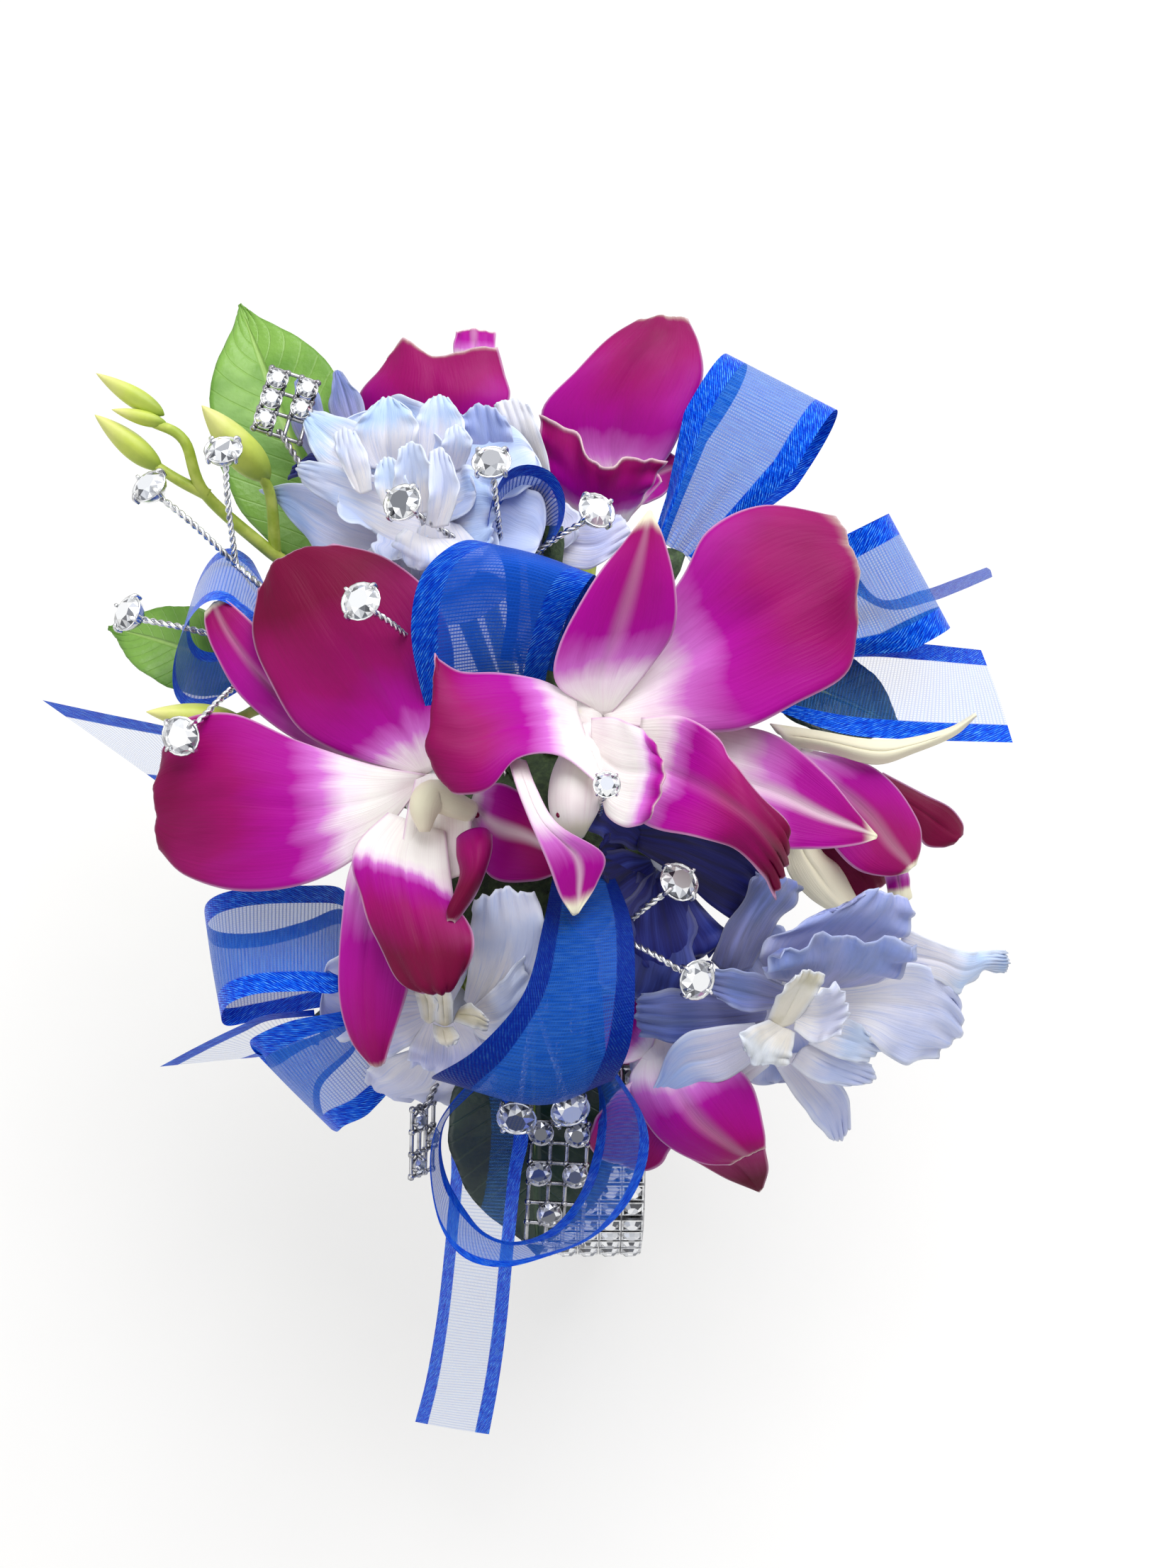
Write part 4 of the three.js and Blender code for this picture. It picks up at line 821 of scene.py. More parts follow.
              [(22.2,-5.6,-5),(23.4,-3.9,-4.2),(24.9,-1.8,-5)],
              [(23.9,-4.9,-5),(24.2,-4.3,-4.2),(25.2,-3.4,-5)]],
             dict(tone=(-0.5, -0.5, 0), ruffle=0.006)),
            ([[(2.7,-8,-3),(5.1,-7.3,-2.2),(8.9,-6.2,-3)],
              [(8.2,-12.1,-4.5),(10.1,-10.6,-3.7),(13.4,-9.2,-4.5)],
              [(11.3,-14.7,-5),(12.7,-13.1,-4.2),(15,-11.4,-5)]],
             dict(tone=(-0.6, -0.5, 0), ruffle=0.01)),
            ([[(-1.1,-6.4,-1),(-0.1,-5.4,-0.2),(1.9,-4.5,-1)],[(-0.3,-9.8,-3),(1.5,-9.4,-2.2),(4.3,-9,-3)],
              [(0.8,-12.8,-3.5),(3.9,-12,-2.7),(7.3,-10.8,-3.5)],
              [(3.9,-15.1,-4),(6.4,-14.2,-3.2),(9.8,-13.2,-4)],
              [(7.9,-16.5,-4.5),(9.1,-15.9,-3.7),(11,-14.6,-4.5)]],
             dict(tone=(1.4, 1, 0), ruffle=0.01)),
            ([[(12.3,-9.5,-2.5),(13.6,-8.9,-1.7),(15.7,-8.3,-2.5)],
              [(13.7,-11.8,-3),(14.8,-11.3,-2.2),(16.8,-10.7,-3)],
              [(14.6,-14,-3.5),(15.7,-14.3,-2.7),(17.7,-13,-3.5)]],
             dict(tone=(0.3, 0.3, 0.3), ruffle=0.02)),
        ]),
    orchid_lower_right=dict(
        at=(8, -19, 33), facing=(0.1, -0.5, 0.85),
        petals=[("petal", 195, 12, 10, -8, -32, dict(tone=(0.1, 0, 0))),
                ("sepal", -50, 9, 8, -8, -32, dict(tone=(0.1, 0, 0)))],
        nets=[
            ([[(-1.9,0.7,0),(-0.3,1.9,-0.5),(1.6,2.9,0)],[(-3.1,-2.6,0),(1.7,-2.2,1.5),(8.2,0.4,1)],
              [(0.2,-8.2,0),(4.7,-6,2),(10.8,-1.9,2)],[(5.4,-11.3,-0.3),(8.6,-8.7,2),(12.3,-6.5,2)],
              [(9.1,-11.4,0),(10.9,-10,1),(12.8,-8.9,1.5)]],
             dict(tone=(0.2, 0, 0.15), ruffle=0.006)),
            ([[(4.6,-11,-0.8),(9.1,-10.7,-0.3),(12.8,-9,1.2)],
              [(9.2,-13.4,-2.4),(11.7,-13.1,-2.2),(13.7,-11.9,-0.6)],
              [(13.1,-15,-3.4),(13.4,-15,-3.2),(13.7,-14.3,-2.6)]],
             dict(tone=(-0.5, 0, 0), ruffle=0.004, front=1)),
        ]),
)

orchidHeart = [(0.1, -3.4), (1.6, -3), (2.8, -2), (3.2, -1), (2.6, -0.2), (1.4, 0.3), (0.1, 0.4)]
orchidLooks = [orchidFace, orchidBack, stemMaterial]
for name, flower in orchids.items():
    tepals = flowerParts(flower, {}, orchidHeart, (allWhite, 0, 0), 24)
    if "lobes" not in flower:
        makePiece(name + "_flower", tepals, orchidLooks, nodes=[name])
        continue
    centre, axes = np.array(flower["at"], float), flowerAxes(flower["facing"])
    lobes = [netPart(centre, axes, net, **look) for net, look in flower["lobes"]]
    if "column" in flower:
        lobes += columnPart(centre, axes, **flower["column"])
    makePiece(name + "_flower", tepals, orchidLooks, nodes=[name + "_tepals"])
    makePiece(name + "_throat", lobes, orchidLooks, nodes=[name + "_lip"])
print("orchids made")

# each delphinium floret, given as an orchid is, with the name of its material slot
florets = dict(
    delphinium_top_left=dict(
        at=(-20, 42, 55), facing=(-0.25, -0.12, 0.96), slot="petal_pale_blue",
        petals=[
            ("round", 66, 14, 12, 16, -12, dict(tone=(0, 0.2, 0))),
            ("round", 112, 14, 13, 14, -16, dict(tone=(0, 0.4, 0))),
            ("round", 150, 14, 13, 12, -20, dict(tone=(0, 0.2, 0))),
            ("round", -160, 15, 13, 12, -20, dict(tone=(0, 0.1, 0))),
            ("round", -20, 14, 12, 30, 4, dict(tone=(0, 0.1, 0)))] + [
            ("round", turn, 9, 7, 58, 20, dict(tone=(0, 0.4, 0))) for turn in (15, 100, 190, 275)],
        nets=[
            ([[(-0.1,-1.8,1),(-0.5,-4.1,0),(-0.3,-7.1,0)],[(-6.5,0.9,3.5),(-7.2,-2.3,1.5),(-6.8,-5.7,0)],
              [(-11.8,4.3,4),(-12.5,1.4,2),(-12.3,-3.3,0)],[(-15.7,6,3.5),(-15.9,4.5,2),(-15.6,0.9,0)],
              [(-18.5,6.5,2.5),(-18.7,6.1,1.5),(-18.1,4.7,0.5)],[(-21,7.5,1),(-21,7.4,1),(-20.9,7.2,1)]],
             dict(tone=(0.3, 0, 0))),
            ([[(-0.1,0.3,5),(0.6,-1.6,3),(1.6,-7,2)],[(-3.2,2.1,7.5),(-2.7,-0.7,5),(-1.9,-5.8,3.5)],
              [(-7,3.5,8),(-7.3,2,6),(-6.5,-1.7,4.5)],[(-10.9,5.7,7.5),(-11.2,4.2,6.5),(-10.4,1.4,5)],
              [(-13.2,6.6,6.5),(-13.9,6,6),(-13.4,4.5,5)]],
             dict(tone=(0, 0.35, 0))),
            ([[(-3.7,6.5,4),(-5.8,6.1,3),(-7.2,5.6,3)],[(-5.2,10.3,6),(-8.8,8.9,5),(-10.9,6.4,4.5)],
              [(-9.4,13,6),(-11.9,12.3,5.5),(-12.8,10,5)],[(-12.2,14.9,5),(-13.4,14.4,5),(-13.6,13.1,5)]],
             dict(tone=(0, 0, 0))),
            ([[(-0.1,4.2,5),(-2.7,4.9,4),(-5.1,5.2,5)],[(2.2,6.8,8),(-2.3,8.2,6.5),(-6.3,8.7,7)],
              [(1.7,9.3,8.5),(-2,11,7.5),(-5.1,10.1,8)],[(-0.2,11.7,8),(-2,13.1,7.5),(-3.6,11.8,8)]],
             dict(tone=(0, 0, 0))),
            ([[(5.6,4.1,5),(2.7,4.8,4),(0.8,5.1,5)],[(7.7,6.4,7),(4,7.6,6),(1.4,8.2,7)],
              [(7.1,9.2,7.5),(4.4,10.3,7),(2.1,10,7.5)],[(5.6,11.6,7),(4.4,12.3,7),(2.9,11.8,7)]],
             dict(tone=(0, 0.1, 0))),
            ([[(7.3,2.2,6),(5.4,2.4,5.5),(3.8,2.9,6)],[(9.1,3.7,8.5),(6.8,4.5,8),(5.2,4,8.5)],
              [(8.1,5.9,8.5),(7,6.6,8.5),(5.9,6.1,8.5)]],
             dict(tone=(0.05, 0, 0))),
            ([[(2.9,-8.2,2),(2.8,-3,3),(2.7,1.4,4)],[(6.9,-10,3),(7.9,-3.8,4.5),(7,2.4,6)],
              [(9.5,-7,3),(10.4,-3.5,4),(10.2,1.5,5)]],
             dict(tone=(0.06, 0.1, 0))),
            ([[(0.9,-3.7,4),(3.7,-3.5,4.5),(6.3,-4.5,4.5)],[(-0.3,-8.5,3.5),(4.8,-9.2,5),(8.9,-8.6,4)],
              [(1,-10.8,1.5),(3.8,-11.8,2),(6.5,-10.9,2)]],
             dict(tone=(0, 0.5, 0))),
            ([[(3.9,-4.3,8),(1.1,-3.7,7),(-0.5,-3.1,8)],[(5.3,-1.5,11),(2.1,0.1,9.5),(0.4,-1,11)],
              [(4.1,2.1,12),(2.5,3.2,11.5),(1.3,2.1,12)]],
             dict(tone=(0, 0.3, 0.15))),
            ([[(6.1,-6.9,8.5),(4.3,-6.3,7.5),(3.4,-6.3,8.5)],[(8.3,-3.9,11),(6.1,-2.9,10),(4.6,-4.2,11)],
              [(7.4,0.2,11.5),(6.1,1.8,11.5),(4.8,1.2,11.5)]],
             dict(tone=(0, 0.5, 0.1))),
            ([[(-3.4,-0.1,8),(-5.1,0.3,7),(-6,0.9,7.5)],[(-3.4,3.5,9.5),(-5.8,3.8,9),(-7.5,5.1,9)],
              [(-5,7.3,9.5),(-6.5,8.2,9.5),(-7.9,8,9)]],
             dict(tone=(0, 0.4, 0.1))),
            ([[(0.9,-3.9,8.5),(-0.7,-3.5,8),(-2.1,-2.3,8)],[(1.7,-1.1,10),(-0.8,-0.2,9),(-2.6,-0.2,9.5)],
              [(0.4,2,10),(-0.9,2.8,10),(-2.1,2,10)]],
             dict(tone=(0, 0.1, 0.15))),
            ([[(0.1,-5,6.5),(2.9,-6.6,6),(6.1,-7.5,6.5)],[(-1.2,-6.6,6.5),(3.9,-10.2,7),(8.2,-9.3,6.5)],
              [(-0.7,-8.6,5.5),(2.5,-10.9,6),(5.8,-10.6,5.5)]],
             dict(tone=(0, 0.6, 0))),
            ([[(-11.7,11.6,0),(-13.1,11.4,0),(-14.6,11.1,0)],[(-12.6,16.4,1),(-14.8,16.8,1),(-17,16.2,1)],
              [(-13.3,19.9,1.5),(-15.2,20.8,1.5),(-16.5,20,1.5)],
              [(-15.7,22.2,1.5),(-16.2,22.7,1.5),(-16.6,22.3,1.5)]],
             dict(tone=(0.75, 0, 0))),
            ([[(-10.7,6.3,0),(-11.6,6.4,0),(-12.5,6.1,0)],[(-13,11.2,1),(-14.1,10.2,1),(-15.2,8.7,0.5)],
              [(-15.5,10.7,1),(-16.7,9.9,1),(-17.5,8.6,0.5)]],
             dict(tone=(1, 0, 0))),
            ([[(-7.5,13.5,-1),(-8.9,13.3,-1),(-10.3,13.2,-1)],
              [(-8.1,19.1,-0.5),(-10.2,19,-0.5),(-12.6,18.4,-0.5)],
              [(-9.6,21.5,0),(-11.1,22.6,0),(-12.2,21.2,0)],[(-10.9,23.7,0),(-11.6,24.1,0),(-12.1,23.7,0)]],
             dict(tone=(0.75, 0, 0))),
        ]),
    delphinium_right=dict(
        at=(23, -11, 33), facing=(0.3, -0.72, 0.62), slot="petal_pale_blue",
        petals=[
            ("round", 20, 10, 9, 6, 0, dict(tone=(0.1, 0.6, 0))),
            ("round", 95, 10, 9, 4, 0, dict(tone=(0.2, 0.6, 0))),
            ("round", 165, 9, 9, 4, 0, dict(tone=(0.2, 0.4, 0))),
            ("round", -125, 10, 9, 4, 0, dict(tone=(0.35, 0.4, 0))),
            ("round", -55, 10, 9, 6, 0, dict(tone=(0.3, 0.4, 0)))],
        nets=[
            ([[(3.5,-2.2,3),(3.1,0.7,2.5),(2.7,3.6,3)],[(7.7,-0.6,5),(7.4,2.7,4),(6.4,6.1,5)],
              [(11.9,-2.4,5.5),(13.2,3.8,5),(11.1,9.3,5.5)],[(15.2,-3.1,5),(17.7,3.7,5),(16.7,7.7,5)],
              [(19.7,-2.1,4),(21.9,1.7,4),(19.9,5.4,4)]],
             dict(tone=(0, 0.6, 0))),
            ([[(2.6,-3.5,4),(3.2,-2,3.5),(3.1,0,4)],[(6.4,-4,5.5),(6.6,-1.6,5),(6.3,0.9,5.5)],
              [(10.2,-4,5),(11.4,-2.1,5),(8.8,-0.2,5.5)]],
             dict(tone=(0, 0.2, 0.1))),
            ([[(1.4,-6.4,4),(2.3,-4.5,3.5),(3.7,-3.3,3.5)],[(4.7,-7.5,5),(5.9,-5.2,4.5),(7.1,-4,4.5)],
              [(9.8,-7.5,4.5),(12.9,-6.5,4),(11.6,-4.4,4.5)]],
             dict(tone=(0.1, 0.5, 0))),
            ([[(0.2,-7.2,2),(1.6,-6.5,1.5),(2.9,-5.6,2)],[(4,-10.5,2.5),(6.6,-9.4,1.5),(7.5,-7.2,2.5)],
              [(8.5,-13.8,2),(11,-12.2,1),(11.6,-9.7,2)],[(12.3,-16.1,1),(14,-16.2,0.5),(14.2,-14.1,1)]],
             dict(tone=(0.1, 0.6, 0))),
            ([[(5.5,6.2,2),(1.6,4.5,1.5),(-3.8,3.2,2)],[(8.6,10.6,4),(1.3,9.8,3.5),(-7.5,5.9,4)],
              [(9.3,13.9,5),(2.3,13.8,5),(-5.1,10.1,4.5)],[(8.7,15.7,4.5),(3.4,16.7,5),(0.3,14,5)]],
             dict(tone=(0.5, 0.4, 0))),
            ([[(6.1,4.5,4),(1.9,3.6,3.5),(-3.9,3.4,4)],[(8.1,8.1,8),(0.5,7.6,7),(-7.9,4.9,7)],
              [(8.8,12.2,9.5),(-1.1,11.5,9),(-8.5,8.2,8.5)]],
             dict(tone=(0.62, 0.2, 0))),
            ([[(10.3,7.4,4),(9.7,9.5,4),(9,12.7,4)],[(15.1,7.7,5),(14.5,10,5),(13.2,12.1,5)],
              [(18.7,6.7,5),(17.9,9.7,5.5),(17.5,11.8,5)],[(21.1,9.6,4.5),(20.8,11,5),(20.9,12.4,4.5)],
              [(24.6,9.9,4),(24.4,11.3,4),(23.3,12.7,4)]],
             dict(tone=(0.04, 0, 0), ruffle=0.09, waves=5)),
            ([[(-4,0,3),(-3.2,-1.4,2.5),(-3.4,-2.8,3)],[(-12.2,0.6,4.5),(-9.7,-2.7,3.5),(-8.3,-4.6,4)],
              [(-16.2,-0.2,4),(-15.2,-3.7,3.5),(-13.7,-6.5,3.5)],
              [(-19.2,-2.1,2.5),(-19,-4.4,2.5),(-17.2,-7,2)]],
             dict(tone=(0.8, 0.1, 0))),
            ([[(-1.1,2.4,4),(-2.1,1.3,4),(-3,0,4)],[(-8.6,4.3,6),(-7.8,1.5,5),(-7.6,-0.6,5.5)],
              [(-12.9,3.7,5.5),(-13.1,1.8,5),(-11.4,0.2,5)]],
             dict(tone=(0.72, 0.1, 0))),
            ([[(-5,-2.2,4),(-3.5,-4.2,3.5),(-2.7,-5.8,4)],[(-11.2,-3.3,5.5),(-8.5,-6.9,4.5),(-6.1,-9,5)],
              [(-14.4,-5.7,5),(-12,-8.4,4.5),(-9.4,-10.8,4.5)],
              [(-14,-11.1,3.5),(-13.1,-12,3.5),(-11.8,-13.1,3.5)],
              [(-14,-13.4,3),(-13.8,-13.5,3),(-13.4,-13.8,3)]],
             dict(tone=(0.25, 0.1, 0))),
            ([[(-2.3,-5.6,3),(-1.4,-6.8,3),(-0.6,-7.4,3)],[(-6.3,-9.3,3.5),(-5,-10.2,3.5),(-2.8,-9.8,3.5)],
              [(-11.1,-11.3,3.5),(-7.7,-13.4,3),(-5.3,-13.7,3)],
              [(-13.5,-13.3,3),(-10.9,-15.6,2.5),(-8.2,-16.6,2.5)],
              [(-13.5,-16.3,2),(-12.8,-16.9,2),(-12.1,-17.2,2)]],
             dict(tone=(0.15, 0.6, 0))),
            ([[(-1.2,-0.5,6),(-3,-1.3,6),(-4.8,-0.7,6)],[(-1.5,4.2,8.5),(-3.3,3.6,7.5),(-6,3,8.5)],
              [(-1.4,6.6,9),(-3.9,6.9,9),(-5.5,5.8,9)]],
             dict(tone=(0, 0, 0.9))),
            ([[(-1.4,-1.2,6.5),(-1.4,0.6,6),(-1.9,2.5,6.5)],[(0.3,-1.4,9),(0.6,1.5,8),(-1.6,4.6,9)],
              [(2.4,0.8,10),(2.1,4,10),(-0.5,6.3,10)]],
             dict(tone=(0.05, 0.7, 0.2))),
            ([[(-4.9,-0.6,6.5),(-2.5,-1.4,6),(-1.1,-1.5,6.5)],[(-8.8,-1.9,8.5),(-5.4,-3.2,8),(-1.7,-3.4,8.5)],
              [(-7.9,-3.7,8.5),(-5.6,-5.4,8.5),(-1.7,-4.7,8.5)]],
             dict(tone=(0, 0.1, 0.55))),
            ([[(-6.2,3.2,1),(-10,2.9,3.5),(-11.4,3,1)],[(-5.6,8.2,1.5),(-11.2,8.8,5.5),(-11.5,6.3,1.5)],
              [(-4,12.5,1.5),(-10,13.7,5.5),(-10.3,12.7,1.5)],[(-3.7,14,1),(-8.3,15.2,3.5),(-9.9,14.6,1)]],
             dict(tone=(0.78, 0.1, 0))),
        ]),
    delphinium_bottom=dict(
        at=(-16, -12, 34), facing=(-0.1, -0.75, 0.65), slot="petal_pale_blue",
        petals=[("round", -74, 13, 12, 24, -10, dict(tone=(0.05, 0.6, 0)))],
        nets=[
            ([[(5,-0.3,3),(3.5,0.3,3),(2.4,1.7,3)],[(10.3,3.2,5.5),(7.1,6.1,5.5),(4,6.9,5)],
              [(13.5,11.4,7),(9.1,11.5,6.5),(5,12.2,5.5)],[(12.8,15.3,6.5),(9.4,16.3,6.5),(5.8,14.8,6)]],
             dict(tone=(0, 0.5, 0.1))),
            ([[(2.5,-1.7,3.5),(3.1,-0.3,3.5),(3.5,1,3.5)],[(5.1,-2.6,5.5),(6.8,0.6,6),(7.1,4.8,6.5)],
              [(8,0.1,6),(10.5,3.7,6.5),(10.8,8.6,7)]],
             dict(tone=(0, 0.4, 0.2))),
            ([[(-1,3,3.5),(-1.2,1,3),(-1.6,-0.7,3)],[(-4.1,5.3,5),(-4.8,1.1,4.5),(-4.3,-3.2,4)],
              [(-7.2,4.4,4.5),(-8.4,0.9,4.5),(-7.6,-4.6,3.5)],[(-9,2.2,3.5),(-9.7,-0.4,3.5),(-9.3,-4.3,3)]],
             dict(tone=(0.05, 0.8, 0))),
            ([[(-2.3,-0.4,3.5),(0,-0.8,3),(2.2,-0.7,3.5)],[(-4.5,-3.4,4.5),(0.2,-4.6,4.5),(4.9,-3.1,4.5)],
              [(-4.7,-5.6,4),(-0.7,-7.1,4),(4.5,-5.6,4)]],
             dict(tone=(0.05, 0.8, 0))),
            ([[(-4.9,-4.7,2),(-1.3,-5.1,1.5),(2.6,-5.1,2)],[(-9.6,-5.9,2.5),(-3.1,-9.4,2),(4.7,-8.7,2.5)],
              [(-10.6,-7.5,2),(-7.6,-10.8,1.5),(3.4,-11,1.5)],[(-9.7,-10,1),(-6.3,-12,0.5),(-0.5,-13.1,0.5)]],
             dict(tone=(0, 0.7, 0.1))),
            ([[(0,-0.2,2.5),(-1.3,-0.3,2),(-2.5,0,2.5)],[(3.5,5.6,4),(0.1,4.7,3.5),(-3,3.6,3.5)],
              [(3.2,9.1,4),(-0.1,8.5,4),(-3.5,5.9,3.5)]],
             dict(tone=(0.05, 0.7, 0))),
            ([[(-0.5,0.7,6),(-1.3,0.5,6),(-2.1,1.1,6)],[(0.6,3.8,8),(-0.7,3.9,7.5),(-1.9,4.1,7.5)],
              [(-0.2,5.6,8),(-1,5.9,8),(-2.2,5.4,7.5)]],
             dict(tone=(0, 0.1, 1))),
            ([[(1.5,0.4,6),(0.5,0.1,6),(-0.5,0.5,6)],[(2.4,3.9,8.5),(1.2,4,8),(0.1,4.1,8)],
              [(2.3,5.5,8.5),(1.5,6.1,8.5),(0.5,5.7,8.5)]],
             dict(tone=(0, 0.1, 1))),
            ([[(1.5,0.5,6),(2.1,1.4,6),(2.6,2.2,6)],[(4.1,0.5,8),(4.4,2,8),(4.2,3.5,8)],
              [(5.5,-0.1,8),(6,1.1,8),(5.5,2.1,8)]],
             dict(tone=(0, 0.1, 1))),
            ([[(-0.9,0.3,6),(0.2,-0.3,6),(1.4,-0.2,6)],[(-0.6,-0.5,7.5),(0.6,-1.1,7.5),(2.3,-0.7,7.5)],
              [(-0.1,-1.4,7.5),(0.8,-1.9,7.5),(1.8,-1.6,7.5)]],
             dict(tone=(0, 0.1, 1))),
        ]),
    delphinium_top=dict(
        at=(-7, 48, 54), facing=(0, -0.25, 0.95), slot="petal_pale_blue",
        petals=[("round", -130, 9, 8, 34, 0, dict(tone=(0, 0.6, 0.2))),
                ("round", 166, 9, 9, 34, 0, dict(tone=(0, 0.7, 0.2)))],
        nets=[
            ([[(2,-3.3,0),(-0.3,-3.8,0),(-2.9,-3.3,0)],[(2.5,0,3),(-0.3,1.2,2.5),(-3,1.9,3)],
              [(1.2,4.7,5),(-1.1,5.2,5),(-3.4,5.6,5)],[(-0.2,8.1,5.5),(-2.2,8.9,5.5),(-4.4,8.2,5.5)]],
             dict(tone=(0, 0.6, 0.5))),
            ([[(-2.4,0.5,2),(-4.6,0.3,1.5),(-7.2,1.4,2)],[(-2,3.3,6),(-4.9,3.3,5),(-8,4.2,6)],
              [(-2.9,5.8,7),(-5.6,7.5,7),(-8.3,6.1,7)]],
             dict(tone=(0.4, 0.3, 0))),
            ([[(1.1,-10.4,1),(1.5,-7.4,1),(1.9,-5.1,1)],[(7,-11.9,2.5),(7.5,-9,2.5),(7,-5.8,3)],
              [(11.5,-8.9,2),(12,-6.7,2.5),(10.6,-4.7,2.5)]],
             dict(tone=(0.1, 0.7, 0))),
        ]),
    delphinium_centre=dict(
        at=(9, 1, 46), facing=(0.2, -0.5, 0.85), slot="petal_deep_blue",
        petals=[
            ("round", 24, 11, 10, 30, -8, dict(tone=(0.9, 0, 0))),
            ("round", 188, 15, 12, 22, -18, dict(tone=(0.95, 0, 0))),
            ("round", -124, 12, 10, 24, -12, dict(tone=(1, 0, 0))),
            ("round", -52, 10, 9, 28, -8, dict(tone=(1, 0, 0)))],
        nets=[
            ([[(-3.4,-2.2,1),(-1.1,-2.8,0.5),(0.7,-1.8,1)],[(-4.2,-7.9,2),(0.4,-8.2,2),(5.1,-6.1,2)],
              [(-3.2,-11.8,1.5),(1.6,-11.5,2),(7.9,-8.3,2)],[(-1.3,-12.7,1),(2.3,-12.1,1),(5.9,-10.6,1)]],
             dict(tone=(1, 0, 0))),
            ([[(-4.4,4.1,2),(-3.9,2.1,1),(-3.9,0.2,2)],[(0,5.5,3.5),(1.2,1.6,2.5),(1.1,-2.4,3)],
              [(6.4,4.2,3),(7.9,-0.7,2.5),(7.1,-6.2,2.5)],[(11.4,1.1,1.5),(11.9,-3,1.5),(11.2,-6.8,1.5)]],
             dict(tone=(1.2, 0, 0))),
            ([[(-3.3,-7.9,0),(-1.9,-8.6,-0.5),(-0.7,-8.9,0)],
              [(-3.7,-12.8,0.5),(-1.5,-14.2,0.5),(3,-12.9,0.5)],
              [(-3.2,-16,0),(0.2,-16.9,0),(5.4,-14.8,0)]],
             dict(tone=(0.9, 0, 0))),
            ([[(-5.4,0.8,1),(-4.7,-0.8,0.5),(-3.8,-2.3,1)],[(-7.6,1.8,3),(-8,-1,2.5),(-6.7,-4.1,3)],
              [(-8.3,0.5,3),(-8.7,-1.3,3),(-7.8,-3,3)]],
             dict(tone=(1.2, 0, 0))),
        ]),
)

floretLook = dict(ruffle=0.045, waves=3.0, wobble=0.02, crease=0.2, thick=0.4, notch=0.06,
                  rows=30, columns=23)
floretHeart = [(0.1, -2.6), (1.5, -2.0), (2.2, -0.4), (1.9, 0.9), (0.2, 1.7)]
for name, flower in florets.items():
    parts = flowerParts(flower, floretLook, floretHeart, (0.1, 0.3, 0.5), 14)
    makePiece(name + "_flower", parts, [floretFace, floretBackShaded, stemMaterial], nodes=[name])
print("delphiniums made")


headFacing = unit([0, -0.29, 0.96])
ribbonWidth, narrowWidth = 16.0, 10.0
ribbonRows, loopRows, ribbonColumns = 91, 81, 21
gather = dict(share=0.35, rate=1.6, pleat=0.16)  # width left at the root, how soon it opens, pleat height


# the way across a ribbon that faces out of the head, rolled about its length by some degrees
def acrossRibbon(along, roll):
    along = unit(along)
    return turned(unit(np.cross(along, headFacing)), along, roll)


# the way along and across a ribbon at each of its points, and half its width
def ribbonPlace(length, width):
    t = np.linspace(-1, 1, ribbonColumns)[None, :]
    length = length[:, None]
    return np.stack([length + 0 * t, t * width / 2 + 0 * length, width / 2 + 0 * t * length], -1)


# a loop: the way out follows a sine, the height twice its frequency, and its two ends lie together;
# where it is gathered the slack stands up in three pleats
def loopGrid(start, end, opening, roll, width):
    reach = np.subtract(end, start).astype(float)
    along = unit(reach)
    across = acrossRibbon(along, roll)
    up = np.cross(across, along)
    turn = np.pi * np.linspace(0.02, 0.98, loopRows)[:, None]
    swell = 0.55 * np.cos(turn) + 0.65 * opening * np.sin(2 * turn) * np.sin(turn) ** 0.6
    middle = start + reach * np.sin(turn) + up * swell + across * (0.5 * np.sin(2 * turn))
    share = gather["share"] + (1 - gather["share"]) * np.minimum(1, gather["rate"] * np.sin(turn))
    normal = unit(np.cross(across, np.gradient(middle, axis=0)))
    t = np.linspace(-1, 1, ribbonColumns)[None, :]
    pleat = gather["pleat"] * width * (1 - share) * np.cos(3 * np.pi * t) * (1 - 0.3 * t**2)
    grid = middle[:, None] + across * (t * width / 2 * share)[..., None] + normal[:, None] * pleat[..., None]
    length = distanceAlong(middle)
    return grid, ribbonPlace(length, width), length[-1]


# a ribbon through a net of points, in rows along it
def netGrid(net, width):
    grid = throughNet(np.asarray(net, float), ribbonRows, ribbonColumns)
    length = distanceAlong(grid[:, ribbonColumns // 2])
    return grid, ribbonPlace(length, width), length[-1]


